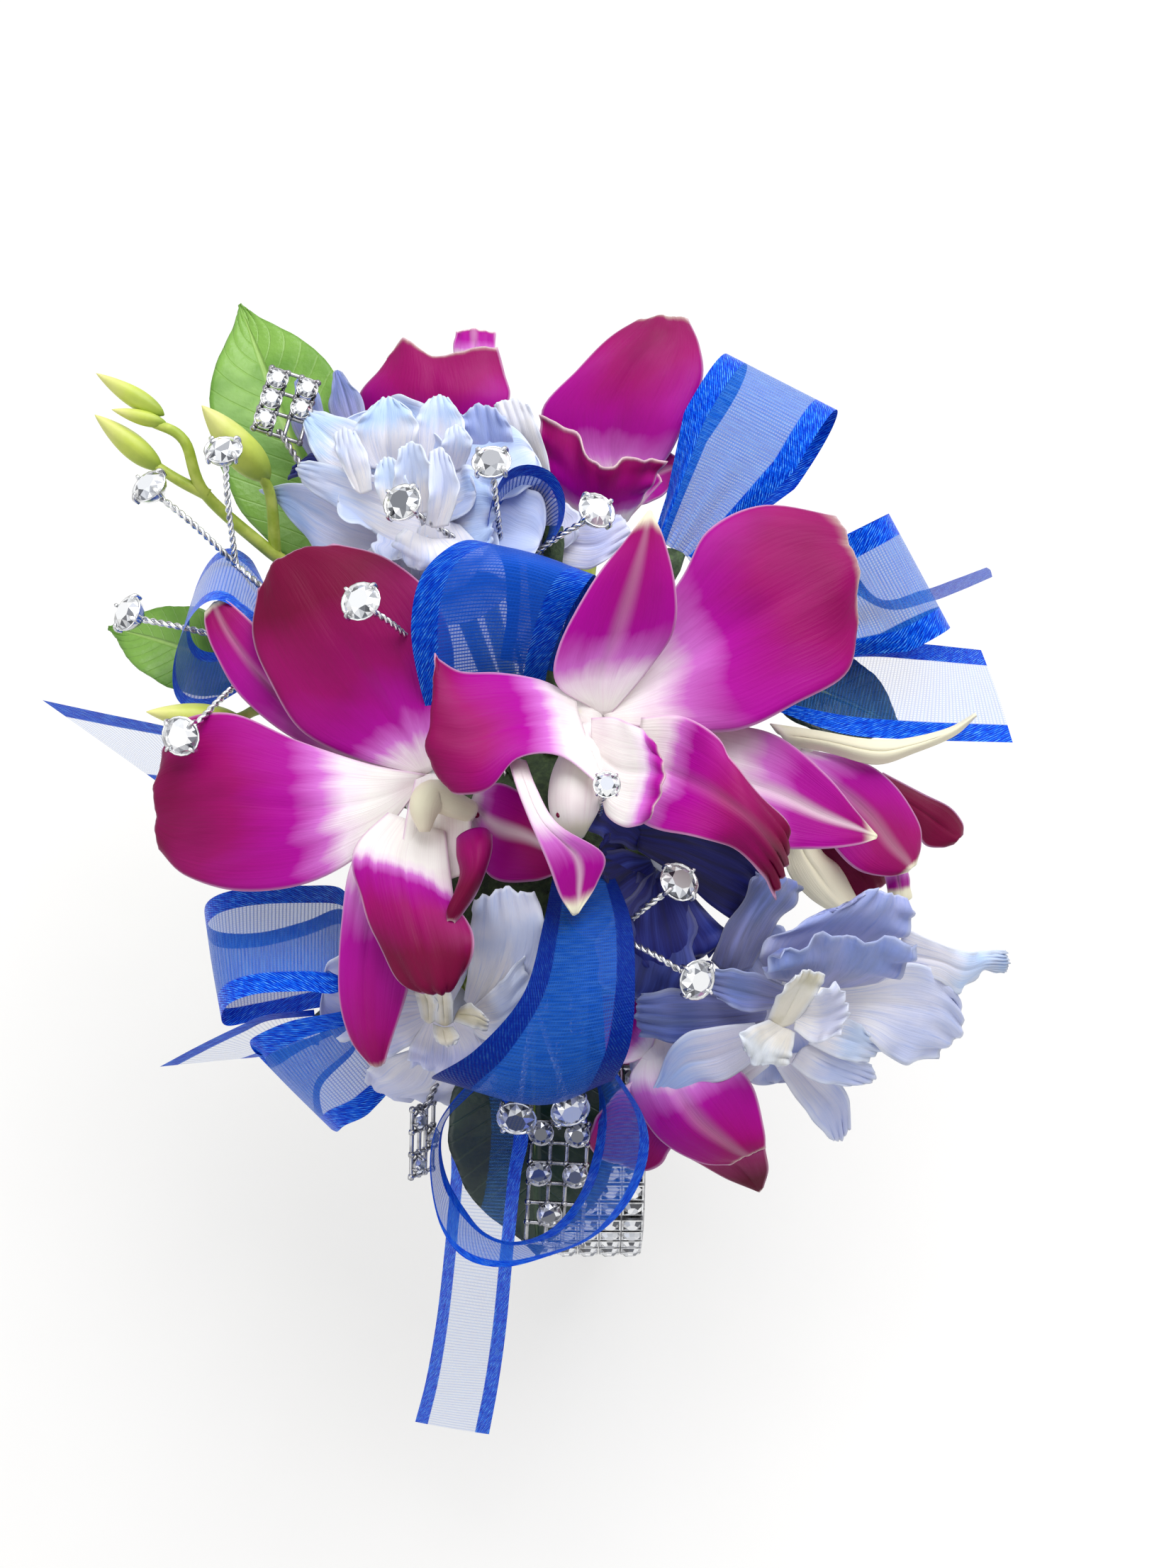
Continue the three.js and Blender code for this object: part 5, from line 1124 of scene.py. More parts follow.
# each loop: its root and far end, its shape by an opening and a roll or by a net, and its cloth's tone
# shade, where given, is painted shade that darkens the whole loop, its satin borders most
loops = dict(
    centre=dict(start=(-12, 18, 48), end=(-8, 30, 66), dense=1.5, shade=0.3, rows=[
        [(-5.3,17,50.2),(-11.5,15.4,49.7),(-17.4,13.8,49.2)],
        [(-4.6,18.9,57.1),(-12,17.8,57.8),(-19.1,17.3,56.6)],
        [(-2.5,21.5,63.1),(-11.1,21.5,64.1),(-19.8,21.7,62.1)],
        [(-0.6,23.7,65.9),(-9.3,25.3,67.9),(-18.3,26.4,65.6)],
        [(0.7,26,65.5),(-6.1,27.7,67.1),(-13.8,29.9,66.7)],
        [(0.7,27.7,60.8),(-4.4,30,61.5),(-10.1,31.3,61.9)],
        [(-1.4,26.3,54.1),(-5.4,28,54.6),(-9.5,28.8,54.9)],
        [(-3.3,23.1,50),(-6.6,23.9,50.3),(-10.4,24.8,50.5)]]),
    upper_right=dict(start=(10, 40, 49), end=(24, 60, 59), opening=7, roll=-10, dense=0.6),
    right=dict(start=(25, 33, 43), end=(41, 41, 46), opening=8, roll=10, dense=0.5),
    left=dict(start=(-35, 31, 42), end=(-49, 33, 47), opening=12.5, roll=50, dense=1.2),
    lower_left=dict(start=(-26, -4, 33), end=(-45, -6, 33), dense=1.0, rows=[
        [(-27.5,-0.7,35.5),(-27.5,-3.7,35),(-27.5,-6.5,33.7)],
        [(-29.8,3.1,33.6),(-29.1,-4.7,36.4),(-28.4,-12.3,37.9)],
        [(-33.9,3,34.4),(-33.1,-4.8,36.9),(-32.2,-12.4,38.2)],
        [(-39.7,2.8,34.4),(-38.6,-5.1,36.8),(-37.5,-12.6,38)],
        [(-44.2,2.3,33.5),(-42.5,-5.6,35.6),(-40.9,-13.1,36.5)],
        [(-46.3,1.5,31.3),(-44.3,-6.3,33.3),(-42.3,-13.8,34.1)],
        [(-45.7,0.4,27.5),(-43.7,-7.1,30.6),(-41.7,-14.3,32.6)],
        [(-40.7,0.7,26.1),(-39.5,-6.6,30),(-38.2,-13.6,32.8)],
        [(-34.9,2,26.6),(-33.9,-5.4,30.4),(-32.9,-12.5,33)],
        [(-30.6,3.2,27.7),(-29.8,-4.3,31.2),(-29,-11.6,33.5)],
        [(-27.5,-1.7,33.5),(-27.5,-4.7,33),(-27.5,-7.5,31.7)]]),
    bottom_left=dict(start=(-25, -10, 29), end=(-33, -21, 24), dense=0.95, rows=[
        [(-23.8,-8.7,29.4),(-26,-10.7,30.4),(-28.2,-12.5,30.6)],
        [(-27.7,-13.4,35.2),(-25.4,-15.3,30.5),(-23.1,-16.9,24.7)],
        [(-33.7,-14.9,35.7),(-29.7,-18.3,30.1),(-25.6,-21.3,23.5)],
        [(-38.1,-15.9,33.6),(-33.4,-19.6,28.7),(-28.7,-22.8,22.7)],
        [(-39.2,-16.1,31.3),(-34.7,-19.5,26.1),(-30.2,-22.5,19.7)],
        [(-37.8,-17.1,30.5),(-35,-18.6,23.8),(-32.1,-19.7,15.9)],
        [(-33.8,-15.7,31),(-33.4,-15.6,23.7),(-33,-15.1,15.1)],
        [(-29,-13.3,30.4),(-28.8,-12.9,25.5),(-28.6,-12.1,19.5)],
        [(-23.8,-9.5,27.2),(-26,-11.5,28.2),(-28.2,-13.3,28.4)]]),
    front=dict(start=(-3, -4, 46), end=(-4, -27, 42), dense=0.95, shade=0.88, rows=[
        [(2.6,-1.6,47.7),(-0.4,-2,48.1),(-3.9,-2.1,47.5)],
        [(4.7,-9.5,50.5),(-0.1,-10.4,51.3),(-4.9,-9.9,50.4)],
        [(5,-17.4,51.2),(-0.7,-18.7,52.4),(-6.9,-18.3,50.9)],
        [(4.5,-23.2,49.5),(-2.9,-25.3,49.8),(-11.9,-23.5,48.3)],
        [(2.9,-25.6,45.6),(-5.3,-28.1,44.8),(-16.8,-24.8,43.7)],
        [(2.2,-22.4,39.2),(-4.7,-24.6,38.6),(-14.9,-22.4,39.2)],
        [(1.6,-13.3,39.9),(-2.8,-14.8,39.5),(-7.5,-14.8,39.5)],
        [(1.2,-5.2,43.4),(-1.4,-6,43.2),(-4.4,-6,43.2)]]),
    bottom=dict(start=(-3, -15, 34), end=(-7, -41, 26), dense=0.9, rows=[
        [(-1.2,-16.3,32.7),(-0.4,-16.3,35.9),(0.2,-16.3,39)],
        [(1,-20.6,30.4),(1.8,-21.6,36.3),(2.5,-22.7,42.3)],
        [(1.2,-24.7,29.7),(3.8,-25.8,35.1),(6,-28.5,41.5)],
        [(0.5,-28.8,28.4),(3.4,-31,33.5),(6.4,-32.8,40.2)],
        [(-1.2,-33,27.1),(1.6,-35,32.2),(4.3,-37.3,38.9)],
        [(-4.4,-36.4,26.1),(-1.5,-38.7,31.1),(0.6,-40.6,37.8)],
        [(-8.4,-37.6,25.7),(-6.6,-40.1,30.7),(-4.1,-42.5,37.3)],
        [(-11.7,-36.6,26),(-10.5,-39.9,30.7),(-9,-43.6,36.9)],
        [(-14,-34.1,26.8),(-13.9,-38.3,31.2),(-13.1,-42.7,37.2)],
        [(-15.9,-31.1,27.7),(-16.3,-35.4,32.1),(-15.7,-39.6,38.2)],
        [(-16.8,-27.5,28.2),(-17.1,-31,33.5),(-17,-34.3,38.7)],
        [(-16.1,-25.2,31.1),(-16.5,-27.6,35.5),(-16.7,-30,40)],
        [(-14.2,-22.3,29.8),(-14.5,-23.7,33.6),(-14.9,-25.1,37.4)],
        [(-10.6,-19.1,30.8),(-10.7,-20.2,34.7),(-10.9,-20.9,37.6)]]),
    top=dict(start=(-4, 39, 55), end=(-5, 46, 62), dense=1.4, shade=0.35, width=narrowWidth, rows=[
        [(-12,35.8,56.8),(-11.2,36.9,55.4),(-10.4,38.4,52.8)],
        [(-11.7,36.2,60.7),(-11.3,38.4,57.4),(-10.9,40.9,53)],
        [(-11.1,38.5,63.1),(-10.9,40.1,59),(-10.8,42.1,53.7)],
        [(-9.5,41.4,64.4),(-9.7,41.8,60),(-10,42.6,54.5)],[(-7,42.5,64.6),(-7.9,42.5,60.2),(-8.8,42.9,54.8)],
        [(-4.3,42,63.8),(-5.9,42.3,59.6),(-7.5,43,54.4)],[(-2.8,39.8,62.6),(-4.7,40.9,58.7),(-6.5,42.3,53.6)],
        [(-2.8,37.3,61.4),(-4.4,39.2,57.6),(-6,41.3,52.8)],[(-3.8,36,59.4),(-5,38,56.2),(-6.2,40.4,51.9)],
        [(-5.3,35.9,56.4),(-6.1,37,54.9),(-6.8,38.3,52.2)]]),
)

# each loose end, by a net from its root to where it is cut
tails = dict(
    right=dict(rows=[
        [(23,33.1,37.9),(23,29.9,37.4),(23,26.9,36.1)],[(35.1,37.7,35.2),(33.1,29.9,37),(31.1,22.4,37.7)],
        [(43,37.7,34.7),(41.3,29.8,36.2),(39.6,22.2,36.5)],[(47.4,38.1,33.4),(47,30,35.2),(46.7,22.3,35.9)],
        [(51.3,38.8,31.7),(52.1,30.3,34.2),(52.8,22.3,35.6)]]),
    right_thin=dict(width=narrowWidth, rows=[
        [(30.5,44.5,48.8),(30,42.9,47.4),(29.5,41.5,45.2)],[(35.3,36.3,47),(36.5,38,43.7),(37.6,40.1,39.2)],
        [(41.2,37.7,46.4),(42.5,39.7,42.6),(43.8,42.1,37.8)],
        [(45.4,39.7,45.9),(46.7,41.7,42.2),(48,44.1,37.4)],
        [(49.7,41.6,45.9),(51.1,43.8,42.3),(52.5,46.3,37.5)]]),
    left=dict(rows=[
        [(-41,22,39),(-41,20.9,36.4),(-41,20,33)],[(-46,19,42.7),(-45.9,19.8,35.8),(-45.9,21,27.8)],
        [(-51.8,20.3,43.1),(-50.1,20.4,35.4),(-48.5,20.8,26.5)],
        [(-58.9,21.7,43.6),(-55.1,21.3,35.1),(-51.4,21.2,25.5)],
        [(-66,23.5,43.5),(-60,22.3,34.9),(-54.1,21.5,25.2)]]),
    lower_left=dict(rows=[
        [(-32,-12,32),(-32,-13.1,29.4),(-32,-14,26)],[(-37,-14.1,35.3),(-36.7,-13.1,28.5),(-36.3,-11.8,20.5)],
        [(-40.3,-15.5,35),(-39.2,-14,27.6),(-38.1,-12.2,19)],
        [(-44.6,-17.4,34.1),(-42.1,-14.9,26.5),(-39.7,-12,17.7)],
        [(-48.9,-19.6,33.3),(-45,-15.9,25.5),(-41.1,-11.8,16.6)]]),
    bottom=dict(rows=[
        [(-9.6,-18.8,30.7),(-12,-17.6,29.4),(-14.4,-16.2,27.3)],
        [(-16,-20.3,18.8),(-11.6,-22.9,25.6),(-7.2,-25.2,31.2)],
        [(-16.6,-26.3,14.4),(-12.1,-28.7,21.2),(-7.7,-30.6,26.9)],
        [(-17.4,-33.1,9.1),(-13,-35.6,16),(-8.6,-37.8,21.6)],
        [(-18.6,-40.3,2.3),(-14.1,-42.6,9.1),(-9.5,-44.5,14.8)],
        [(-20.2,-46,-5),(-15.4,-47.8,1.8),(-10.6,-49.3,7.4)],
        [(-21.9,-49.9,-11.3),(-16.9,-52,-4.7),(-11.9,-53.7,0.6)]]),
)


# a ribbon's wired end: wrapped in tape down to the mound
def ribbonStem(root):
    foot = onMound(root)
    path = curveThrough([root, 0.5 * (root + foot) - 0.6 * headFacing, foot], 14)
    ridges = 1.25 + 0.16 * np.sin(np.linspace(0, 26, 14))
    return tubePart(path, ridges, 10)


def ribbonPiece(kind, ribbon, look, tone):
    grid, place, length = ribbon
    cloth = clothPart(grid, place, tone)
    piece = makePiece("bow_" + kind, [cloth], [look], nodes=["ribbon_" + kind])


stems = []
for name, loop in loops.items():
    width = loop.get("width", ribbonWidth)
    if "rows" in loop:
        ribbon = netGrid(loop["rows"], width)
    else:
        ribbon = loopGrid(loop["start"], loop["end"], loop["opening"], loop["roll"], width)
    outwards = unit(np.subtract(loop["end"], loop["start"]))
    stems.append(ribbonStem(loop["start"] + 1.5 * outwards))
    look = ribbonNarrow if width < ribbonWidth else ribbonWide
    ribbonPiece("loop_" + name, ribbon, look, (loop["dense"], loop.get("shade", 0), 0))
for name, tail in tails.items():
    width = tail.get("width", ribbonWidth)
    stems.append(ribbonStem(np.array(tail["rows"][0][1], float)))
    look = ribbonFolded if width < ribbonWidth else ribbonWide
    ribbonPiece("tail_" + name, netGrid(tail["rows"], width), look, (-0.2, 0, 0))
makePiece("ribbon_stems", stems, [tapeMaterial])
print("ribbons made")


leafLook = dict(arch=2.0, fold=0.15, drip=0.12, thick=0.45, rib=(0.75, 0.15), stalk=(0.8, 0.95),
                rows=44, columns=27)


# a leaf: half width by its outline with a drawn-out tip, arched along and folded up at the midrib
def leafParts(base, tip, width):
    start = np.array(base, float)
    reach = np.array(tip, float) - start
    along = unit(reach)
    across = -acrossRibbon(along, 0)
    up = np.cross(along, across)
    s = np.sin(np.pi / 2 * np.linspace(0, 1, leafLook["rows"]))[:, None]
    t = np.linspace(-1, 1, leafLook["columns"])[None, :]
    drawn = 1 - 0.45 * ease(s, 1 - 2 * leafLook["drip"], 1)
    half = np.maximum(width / 2 * outline("leaf", s) * drawn * (1 + 0.015 * np.sin(30 * s)), 0.22)
    climb = leafVeins["count"] * s - leafVeins["slant"] * np.abs(t)
    lift = leafLook["arch"] * np.sin(np.pi * s) + leafLook["fold"] * half * np.abs(t)
    lift = lift + 0.25 * np.sin(9 * s + 2 * t) * t**2
    lift = lift + 0.12 * np.cos(2 * np.pi * climb) * ease(np.abs(t), 0.05, 0.3)
    grid = (start + reach * s)[:, None] + across * (t * half)[..., None] + up * lift[..., None]
    edge, place = bladePlace(s, t, half, np.linalg.norm(reach))
    blade = sheetPart(grid, leafLook["thick"] * (0.4 + 0.6 * ease(edge, 0, 1)), place)
    within = 0.97 * s  # the rib under the blade ends short of the tip
    ribPath = start + reach * within + up * (leafLook["arch"] * np.sin(np.pi * within) - 0.3)
    rib = tubePart(ribPath, np.linspace(*leafLook["rib"], leafLook["rows"]), 8, 2)
    stalkPath = curveThrough([start + 2 * along, start, onMound(start)], 16)
    return [blade, rib, tubePart(stalkPath, np.linspace(*leafLook["stalk"], 16), 8, 2)]


leaves = dict(
    leaf_top_left=dict(base=(-32, 45, 42), tip=(-46, 80, 52), width=19, look=leafLight, slot="leaf_light"),
    leaf_left=dict(base=(-43, 34, 33), tip=(-62, 40, 35), width=11, look=leafLight, slot="leaf_light"),
    leaf_bottom=dict(base=(-6.5, -13, 30), tip=(-6, -35.5, 13), width=20, look=leafDark, slot="leaf_dark"),
    leaf_right=dict(base=(23, 35, 32), tip=(41, 29, 27.5), width=11, look=leafDark, slot="leaf_dark"),
)
for name, leaf in leaves.items():
    parts = leafParts(leaf["base"], leaf["tip"], leaf["width"])
    makePiece(name + "_blade", parts, [leaf["look"], leaf["look"], stemMaterial], nodes=[name])


# a bud: a spindle with three shallow furrows, swelling a third of the way along
def budPart(start, end, diameter, furrows=3):
    start, end = np.array(start, float), np.array(end, float)
    u, v = squareTo(end - start)
    s = np.linspace(0, 1, 26)[:, None]
    q = np.linspace(0, 2 * np.pi, 24, endpoint=False)[None, :]
    radius = diameter / 2 * np.sin(np.pi * np.clip(s, 0.004, 0.996) ** 0.75) ** 0.8
    radius = radius * (1 - 0.1 * np.abs(np.cos(furrows * q / 2 + 1.2 * s)) ** 6)
    away = u * np.cos(q)[..., None] + v * np.sin(q)[..., None]
    return ringsPart((start + (end - start) * s)[:, None] + radius[..., None] * away, 1)


# stems: the first from the mound and the rest from points on it; buds: foot, tip and diameter
buds = dict(
    bud_sprig=dict(
        stems=[[(-32, 39, 42), (-40, 43, 48), (-47, 47, 54), (-49, 51, 59), (-53, 53, 60)],
               [(-39, 43, 47), (-39, 47, 53), (-40, 48, 57)],
               [(-46.5, 46.8, 53.6), (-50, 48, 55), (-53, 49.3, 56.6)]],
        buds=[((-51.5, 54, 60), (-59.6, 58, 63), 2.6), ((-51, 52.6, 60), (-57.5, 53.6, 61.5), 1.9),
              ((-52, 48.9, 56), (-59.6, 53.2, 61), 3.2), ((-39, 48, 55), (-46, 52, 64), 4.6)]),
    bud_single=dict(stems=[[(-37, 24, 40), (-42, 20, 45)]], buds=[((-41, 20, 44), (-52, 19, 48), 3.6)]),
)
for name, sprig in buds.items():
    main, *side = sprig["stems"]
    parts = [tubePart(curveThrough([onMound(main[0]), *main], 40), np.linspace(0.95, 0.6, 40), 9)]
    parts += [tubePart(curveThrough(path, 24), np.linspace(0.8, 0.6, 24), 9) for path in side]
    parts += [budPart(*bud) for bud in sprig["buds"]]
    makePiece(name + "_stem", parts, [stemMaterial, budMaterial], nodes=[name])
print("leaves and buds made")


# the points and faces of a brilliant: table, star, kite and girdle facets over a shallow back
def gemShape():
    q8, q16 = np.arange(8) * np.pi / 4, np.arange(16) * np.pi / 8
    ring = lambda q, r, h: np.stack([r * np.cos(q), r * np.sin(q), 0 * q + h], -1)
    points = np.concatenate([ring(q8, 0.56, 0.42), ring(q8 + np.pi / 8, 0.8, 0.27), ring(q16, 1, 0),
                             ring(q16, 1, -0.07), [[0, 0, -0.5]]])
    j, k = np.arange(8), np.arange(16)
    table, star = j, 8 + j
    girdle, lower = 16 + k, 32 + k
    tris = [np.stack([table, star, np.roll(table, -1)], -1),
            np.stack([star, girdle[2 * j], girdle[2 * j + 1]], -1),
            np.stack([star, girdle[2 * j + 1], girdle[(2 * j + 2) % 16]], -1),
            np.stack([np.roll(lower, -1), lower, np.full(16, 48)], -1)]
    quads = [np.stack([table, np.roll(star, 1), girdle[2 * j], star], -1),
             np.stack([girdle, lower, np.roll(lower, -1), np.roll(girdle, -1)], -1)]
    return points, [table[None]] + tris + quads


gemPoints, gemFaces = gemShape()


# a stone set on an axis, its facets turned to a way across
def gemPart(centre, axis, across, radius):
    up = unit(axis)
    x = unit(across - up * np.dot(across, up))
    verts = centre + radius * gemPoints @ np.array([x, np.cross(up, x), up])
    faces = [(face, 1) for face in gemFaces]
    return dict(verts=verts, faces=faces, place=0 * verts, tone=plainTone, smooth=False)


# sizes of a stone's cup as shares of the stone's radius: the cup's profile, and a prong's bend and radius
cup = dict(
    profile=np.array([(0.2, -0.85), (0.55, -0.75), (0.9, -0.35), (1.06, 0.0), (1.08, 0.07), (1.0, 0.09),
                      (0.9, -0.1), (0.1, -0.3)]),
    bend=np.array([(1.05, -0.25), (1.1, 0.0), (1.08, 0.18), (0.96, 0.3), (0.8, 0.36)]),
    prong=np.array([0.12] * 7 + [0.11, 0.06]), stone=0.97)


# a stone in its cup: a flared cup turned about the axis, with four prongs bent over the stone
def cupParts(centre, axis, radius):
    axis = unit(axis)
    u, v = squareTo(axis)
    parts = [turnedPart(cup["profile"] * radius, centre, axis, 18)]
    bend = cup["bend"] * radius
    for q in np.radians([45, 135, 225, 315]):
        away = u * np.cos(q) + v * np.sin(q)
        path = curveThrough(centre + bend[:, :1] * away + bend[:, 1:] * axis, len(cup["prong"]))
        parts.append(tubePart(path, radius * cup["prong"], 6))
    return parts + [gemPart(centre, axis, u, cup["stone"] * radius)]


wire = dict(pitch=2.0, strand=0.22, apart=0.21)


# a twisted wire: two strands wound round a path, half a turn apart
def twistedParts(points):
    length = distanceAlong(np.asarray(points, float))[-1]
    path = curveThrough(points, max(24, int(length / wire["pitch"] * 10)))
    u, v = squareTo(np.gradient(path, axis=0))
    parts = []
    for half in (0, np.pi):
        q = (2 * np.pi * distanceAlong(path) / wire["pitch"] + half)[:, None]
        parts.append(tubePart(path + wire["apart"] * (u * np.cos(q) + v * np.sin(q)), wire["strand"], 6))
    return parts


sprays = dict(
    left=dict(fork=(-43, 39, 50), stones=[(-43, 46, 63), (-52, 43, 60)]),
    far_left=dict(fork=(-38, 29, 45), stones=[(-55, 31, 51), (-46, 12, 54)]),
    top=dict(fork=(-10, 36, 51), stones=[(-21, 35, 67), (-11, 40, 68), (1, 37, 63)]),
    upper_left=dict(fork=(-19, 24, 53), stones=[(-25, 22, 66)]),
    upper_right=dict(fork=(6, 25, 47), stones=[(11, 27, 56)]),
    centre=dict(fork=(1, 4, 48), stones=[(2, 1, 62)], radius=1.4),
    front=dict(fork=(3, -7, 42), stones=[(10, -5, 51), (12, -14, 45)]),
    bottom=dict(fork=(-6, -13, 36), stones=[(-8, -26, 34), (-2, -25, 34)]),
)
stoneRadius = 2.15
for name, spray in sprays.items():
    fork = np.array(spray["fork"], float)
    root = onMound(fork)
    radius = spray.get("radius", stoneRadius)
    parts = twistedParts([root, 0.5 * (root + fork) + 0.4 * headFacing, fork])
    for spot in np.array(spray["stones"], float):
        bow = 0.5 * (fork + spot) + 1.1 * headFacing
        facing = unit(unit(spot - bow) + 1.1 * headFacing)
        parts += twistedParts([fork, bow, spot - 0.8 * radius * facing])
        parts += cupParts(spot, facing, radius)
    makePiece("spray_wires_" + name, parts, [silverMaterial, stoneMaterial],
              nodes=["spray_" + name])

# stones sit in some cells of each mesh, given by row and side; the other cells are open
accents = dict(
    top_left=dict(low=(-38, 52.5, 58), high=(-36, 61, 60), rows=3, pitch=2.9, step=2.8, roll=14,
                  cells=[(0, -0.5), (1, -0.5), (1, 0.5), (2, -0.5), (2, 0.5)]),
    bottom=dict(low=(-3.2, -25.1, 30.1), high=(-4, -37, 21), rows=6, pitch=3.2, step=2.4, roll=0,
                cells=[(0, -0.5), (0, 0.5), (2, -0.5), (2, 0.5), (4, 0.15)]),
    bottom_left=dict(low=(-19.2, -22, 27), high=(-19.4, -29.5, 22.4), rows=3, pitch=2.5, step=2.6, roll=-66,
                     cells=[(0, 0.5), (1, -0.5), (2, 0.5)]),
)
longBars, barRadius, barEnd = (-1, -0.3, 0.3, 1), 0.25, 0.2
beadProfile = [(0.05, -0.42), (0.36, -0.26), (0.44, 0), (0.36, 0.26), (0.05, 0.42)]
for name, accent in accents.items():
    low = np.array(accent["low"], float)
    along = unit(np.subtract(accent["high"], accent["low"]))
    across = acrossRibbon(along, accent["roll"])
    up = np.cross(across, along)
    rows, pitch, reach = accent["rows"], accent["pitch"], accent["step"]
    crossLine = across * pitch * np.linspace(-1, 1, 12)[:, None]
    longLine = along * np.linspace(-barEnd, rows * reach + barEnd, 12)[:, None]
    parts = [tubePart(low + across * j * pitch + longLine, barRadius) for j in longBars]
    for k in range(rows + 1):  # cross bars, with a bead at each crossing
        bar = low + along * (k * reach)
        parts.append(tubePart(bar + crossLine, barRadius))
        parts += [turnedPart(beadProfile, bar + across * j * pitch, up, 10) for j in longBars]
    for row, side in accent["cells"]:
        spot = low + along * (row + 0.5) * reach + across * side * 1.3 * pitch + up * 0.6
        parts += cupParts(spot, up, 0.44 * pitch)
    parts += twistedParts([onMound(low), 0.5 * (low + onMound(low)), low + 0.8 * along])
    makePiece("stone_mesh_" + name, parts, [meshMetal, stoneMaterial], nodes=["accent_" + name])
print("rhinestones made")


# sizes of the bracelet: stations round the wrist, a link's section and the stones on it, and the elastic
# in the link's groove, whose stretches lie a layer over or under their neighbours
bracelet = dict(stations=12, gap=0.6, inner=27.5, outer=29.5, half=7.0, groove=3.4, roof=28.9, bevel=0.3,
                edge=0.4, across=2.75, along=2.95, elastic=28.2, elasticHalf=3.0, elasticThick=0.34,
                overlap=3.6)


# points at an angle round the wrist: 0 at the top, then towards the viewer
def aroundWrist(alpha, radius, x=0.0):
    alpha = np.asarray(alpha, float)
    return np.stack([x + 0 * alpha, -radius * np.sin(alpha), radius * np.cos(alpha)], -1)


# a stretch of elastic: a thin band on an arc round the wrist, in the upper or lower layer
def elasticPart(start, end, layer):
    half, thick = bracelet["elasticHalf"], bracelet["elasticThick"]
    alpha = np.linspace(start, end, 24)[:, None]
    x = np.linspace(-half, half, 13)[None, :]
    grid = aroundWrist(alpha + 0 * x, bracelet["elastic"] + layer * thick, x + 0 * alpha)
    place = np.stack([alpha + 0 * x, x / half + 0 * alpha, 0 * alpha * x], -1)
    return sheetPart(grid, thick, place, back=0)


# a link's section as (x, radius) pairs: a bevelled bar with a groove for the elastic on its inside
def linkSection(half, inner, outer, groove, roof, bevel, edge, **others):
    right = [(groove, roof), (groove, inner), (half - bevel, inner), (half, inner + bevel),
             (half, outer - edge), (half - edge, outer)]
    return np.array(right[::-1] + [(-x, radius) for x, radius in right])


step = 2 * np.pi / bracelet["stations"]
spare = bracelet["gap"] / 2 / bracelet["outer"]
reachAngle = bracelet["overlap"] / bracelet["elastic"]
rootAngle = 0.25  # where the elastic leaves the plate on each side
lowest = bracelet["stations"] // 2
stoneSpots = range(-2, 3)  # five rows of five stones on each link
boxProfile = [(1.7, -0.2), (1.78, 0.5), (1.84, 0.95), (1.56, 1.0), (1.45, 0.5), (0.2, 0.3)]
chipProfile = [(0.3, 0.2), (1.22, 0.72), (1.22, 0.84), (0.66, 1.3)]
section = linkSection(**bracelet)
linkLooks = [silverMaterial, stoneMaterial, meshMetal]
for station in range(1, bracelet["stations"]):
    name = "link_%02d" % station
    middle = station * step
    alpha = np.linspace(middle - step / 2 + spare, middle + step / 2 - spare, 13)[:, None]
    rings = aroundWrist(alpha + 0 * section[:, 1], section[:, 1], section[:, 0])
    parts = [ringsPart(rings, 2, smooth=False)]
    for row in stoneSpots:
        for column in stoneSpots:
            angle = middle + column * bracelet["along"] / bracelet["outer"]
            radial = aroundWrist(angle, 1.0)
            seat = aroundWrist(angle, bracelet["outer"], row * bracelet["across"])
            parts.append(turnedPart(boxProfile, seat, radial, 4, smooth=False, start=np.pi / 4))
            parts.append(turnedPart(chipProfile, seat, radial, 8, 1, smooth=False, start=np.pi / 8))
    makePiece("bracelet_" + name + "_stones", parts, linkLooks, name, ["bracelet_" + name])
    layer = 1 if station % 2 else -1
    band = elasticPart(middle - step / 2 - reachAngle, middle + step / 2 + reachAngle, layer)
    makePiece("elastic_" + name, [band], [elasticMaterial], name,
              ["elastic_band"] if station == lowest else ())
rootBands = [elasticPart(rootAngle, step / 2 + reachAngle, -1),
             elasticPart(-step / 2 - reachAngle, -rootAngle, -1)]
makePiece("elastic_roots", rootBands, [elasticMaterial])

# the wrapped mound: rings from a neck on the plate out to the mound and in again, ridged by the wrap
moundProfile = [(5.6, 28.6), (6.0, 29.4), (6.0, 31.4), (7.2, 32.4), (10.4, 33.2), (13.6, 34.6), (16.0, 36.6),
                (16.9, 38.5), (16.2, 40.6), (13.4, 42.6), (9.6, 43.9), (4.6, 44.8), (0.4, 45.0)]
path = curveThrough(moundProfile, 60)
radius, height = path[:, :1], path[:, 1:]
q = np.linspace(0, 2 * np.pi, 96, endpoint=False)[None, :]
wound = 16 * q + 40 * np.linspace(0, 1, 60)[:, None]
radius = radius * (1 + 0.012 * np.sin(wound) + 0.006 * np.sin(41 * q))
shift = ease(height, 29, 36)
rings = np.stack([mound["centre"][0] * shift + radius * np.cos(q),
                  mound["centre"][1] * shift + radius * np.sin(q), height + 0 * q], -1)
makePiece("bound_stems_wrap", [ringsPart(rings)], [tapeMaterial], nodes=["bound_stems"])

for item in bpy.data.objects:
    if item.type == "MESH" and item.name.startswith("mount_plate"):
        item.data.materials.clear()
        item.data.materials.append(silverMaterial)
print("bracelet and mound made")


def aimedAt(spot, target):
    return (Vector(target) - Vector(spot)).to_track_quat("-Z", "Y").to_euler()


# the photograph's view, a soft key from above and behind, and a fill from the left front, placed in metres
cameraSpot, cameraTarget, lampTarget = (0, -0.0985, 0.2345), (0, 0.0115, 0.044), (0, 0.01, 0.03)
view = bpy.data.cameras.new("photoView")
view.sensor_width = 36
view.lens = 42.97
view.clip_start = 0.005
camera = bpy.data.objects.new("photoView", view)
camera.location = cameraSpot
camera.rotation_euler = aimedAt(cameraSpot, cameraTarget)
scene.collection.objects.link(camera)
scene.camera = camera

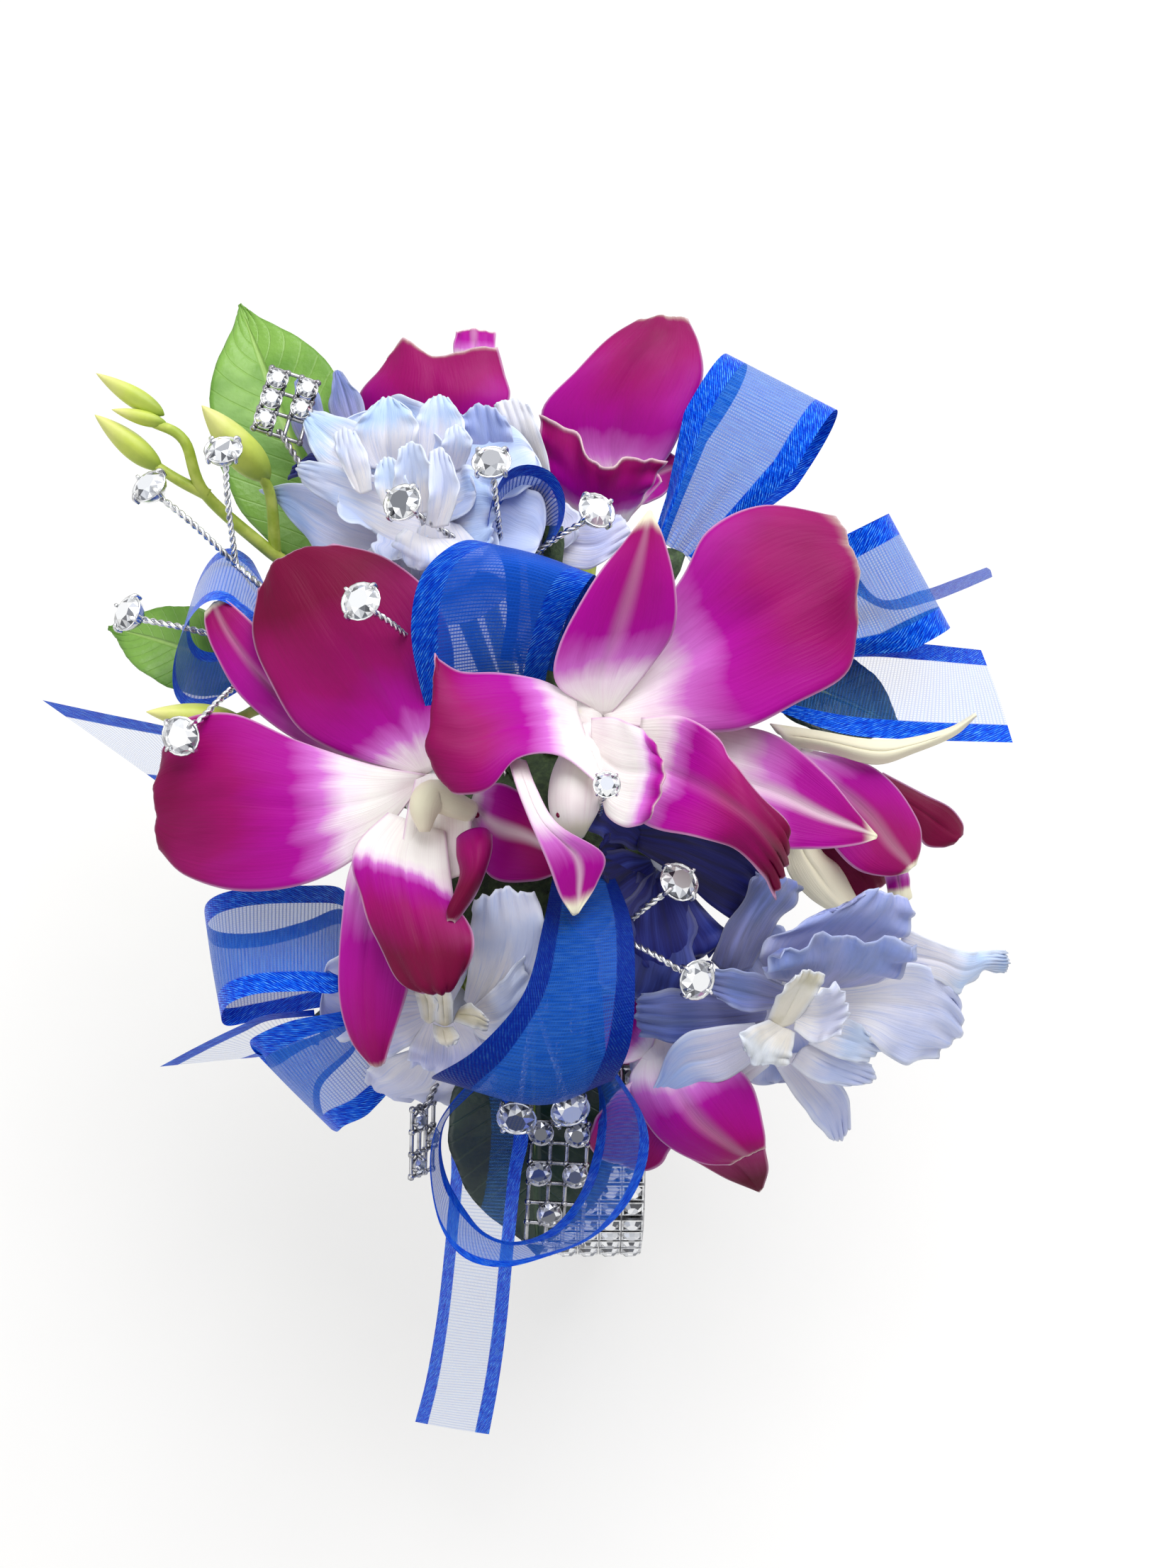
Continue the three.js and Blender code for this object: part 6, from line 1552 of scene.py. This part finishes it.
lamps = dict(keyLamp=dict(spot=(0.12, 0.22, 0.5), size=0.5, power=3.25),
             fillLamp=dict(spot=(-0.4, -0.25, 0.35), size=0.5, power=0.72))
for name, lamp in lamps.items():
    light = bpy.data.lights.new(name, "AREA")
    light.size = lamp["size"]
    light.energy = lamp["power"]
    lampObject = bpy.data.objects.new(name, light)
    lampObject.location = lamp["spot"]
    lampObject.rotation_euler = aimedAt(lamp["spot"], lampTarget)
    scene.collection.objects.link(lampObject)

# a white room: full white where it is seen, mirrored or looked through, dimmer as a light
roomLight = 0.47
world = bpy.data.worlds.new("softRoom")
scene.world = world
world.use_nodes = True
tree = world.node_tree
background = tree.nodes["Background"]
rays = tree.nodes.new("ShaderNodeLightPath").outputs
shown = sums(tree, "MAXIMUM", rays["Is Glossy Ray"], rays["Is Transmission Ray"])
shown = sums(tree, "MAXIMUM", rays["Is Camera Ray"], shown)
feed(tree, background, "Strength", sums(tree, "MULTIPLY_ADD", shown, 1 - roomLight, roomLight))
background.inputs["Color"].default_value = (1, 1, 1, 1)

# a paper floor just under the part, with some glow of its own where the camera sees it
floorHalf, floorDrop, floorGlow = 3.0, 0.0002, 0.6
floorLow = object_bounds()[0][2] - floorDrop
floorCorners = [(x * floorHalf, y * floorHalf, floorLow) for x, y in ((-1, -1), (1, -1), (1, 1), (-1, 1))]
floorMesh = bpy.data.meshes.new("paleFloor")
floorMesh.from_pydata(floorCorners, [], [(0, 1, 2, 3)])
floorMaterial, tree, shader = newMaterial("floorPaper", **{"Roughness": 0.8, "Specular IOR Level": 0.2})
paper = smoothly(tree, noise(tree, objectPlace(tree), scale=40.0), 0.3, 0.7)
feed(tree, shader, "Base Color", blendColour(tree, paper, (0.93, 0.925, 0.915, 1), (0.95, 0.948, 0.94, 1)))
rays = tree.nodes.new("ShaderNodeLightPath").outputs
glow = add(tree, "Emission", {"Color": (1, 0.995, 0.985, 1), "Strength": 1.0})
joined = add(tree, "MixShader", [times(tree, rays["Is Camera Ray"], floorGlow), shader.outputs[0], glow])
tree.links.new(joined, tree.nodes["Material Output"].inputs["Surface"])
floorMesh.materials.append(floorMaterial)
floor = bpy.data.objects.new("paleFloor", floorMesh)
scene.collection.objects.link(floor)
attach(floor, "link_06")  # the lowest link stands on it, stretched or not

print("stage and camera made")
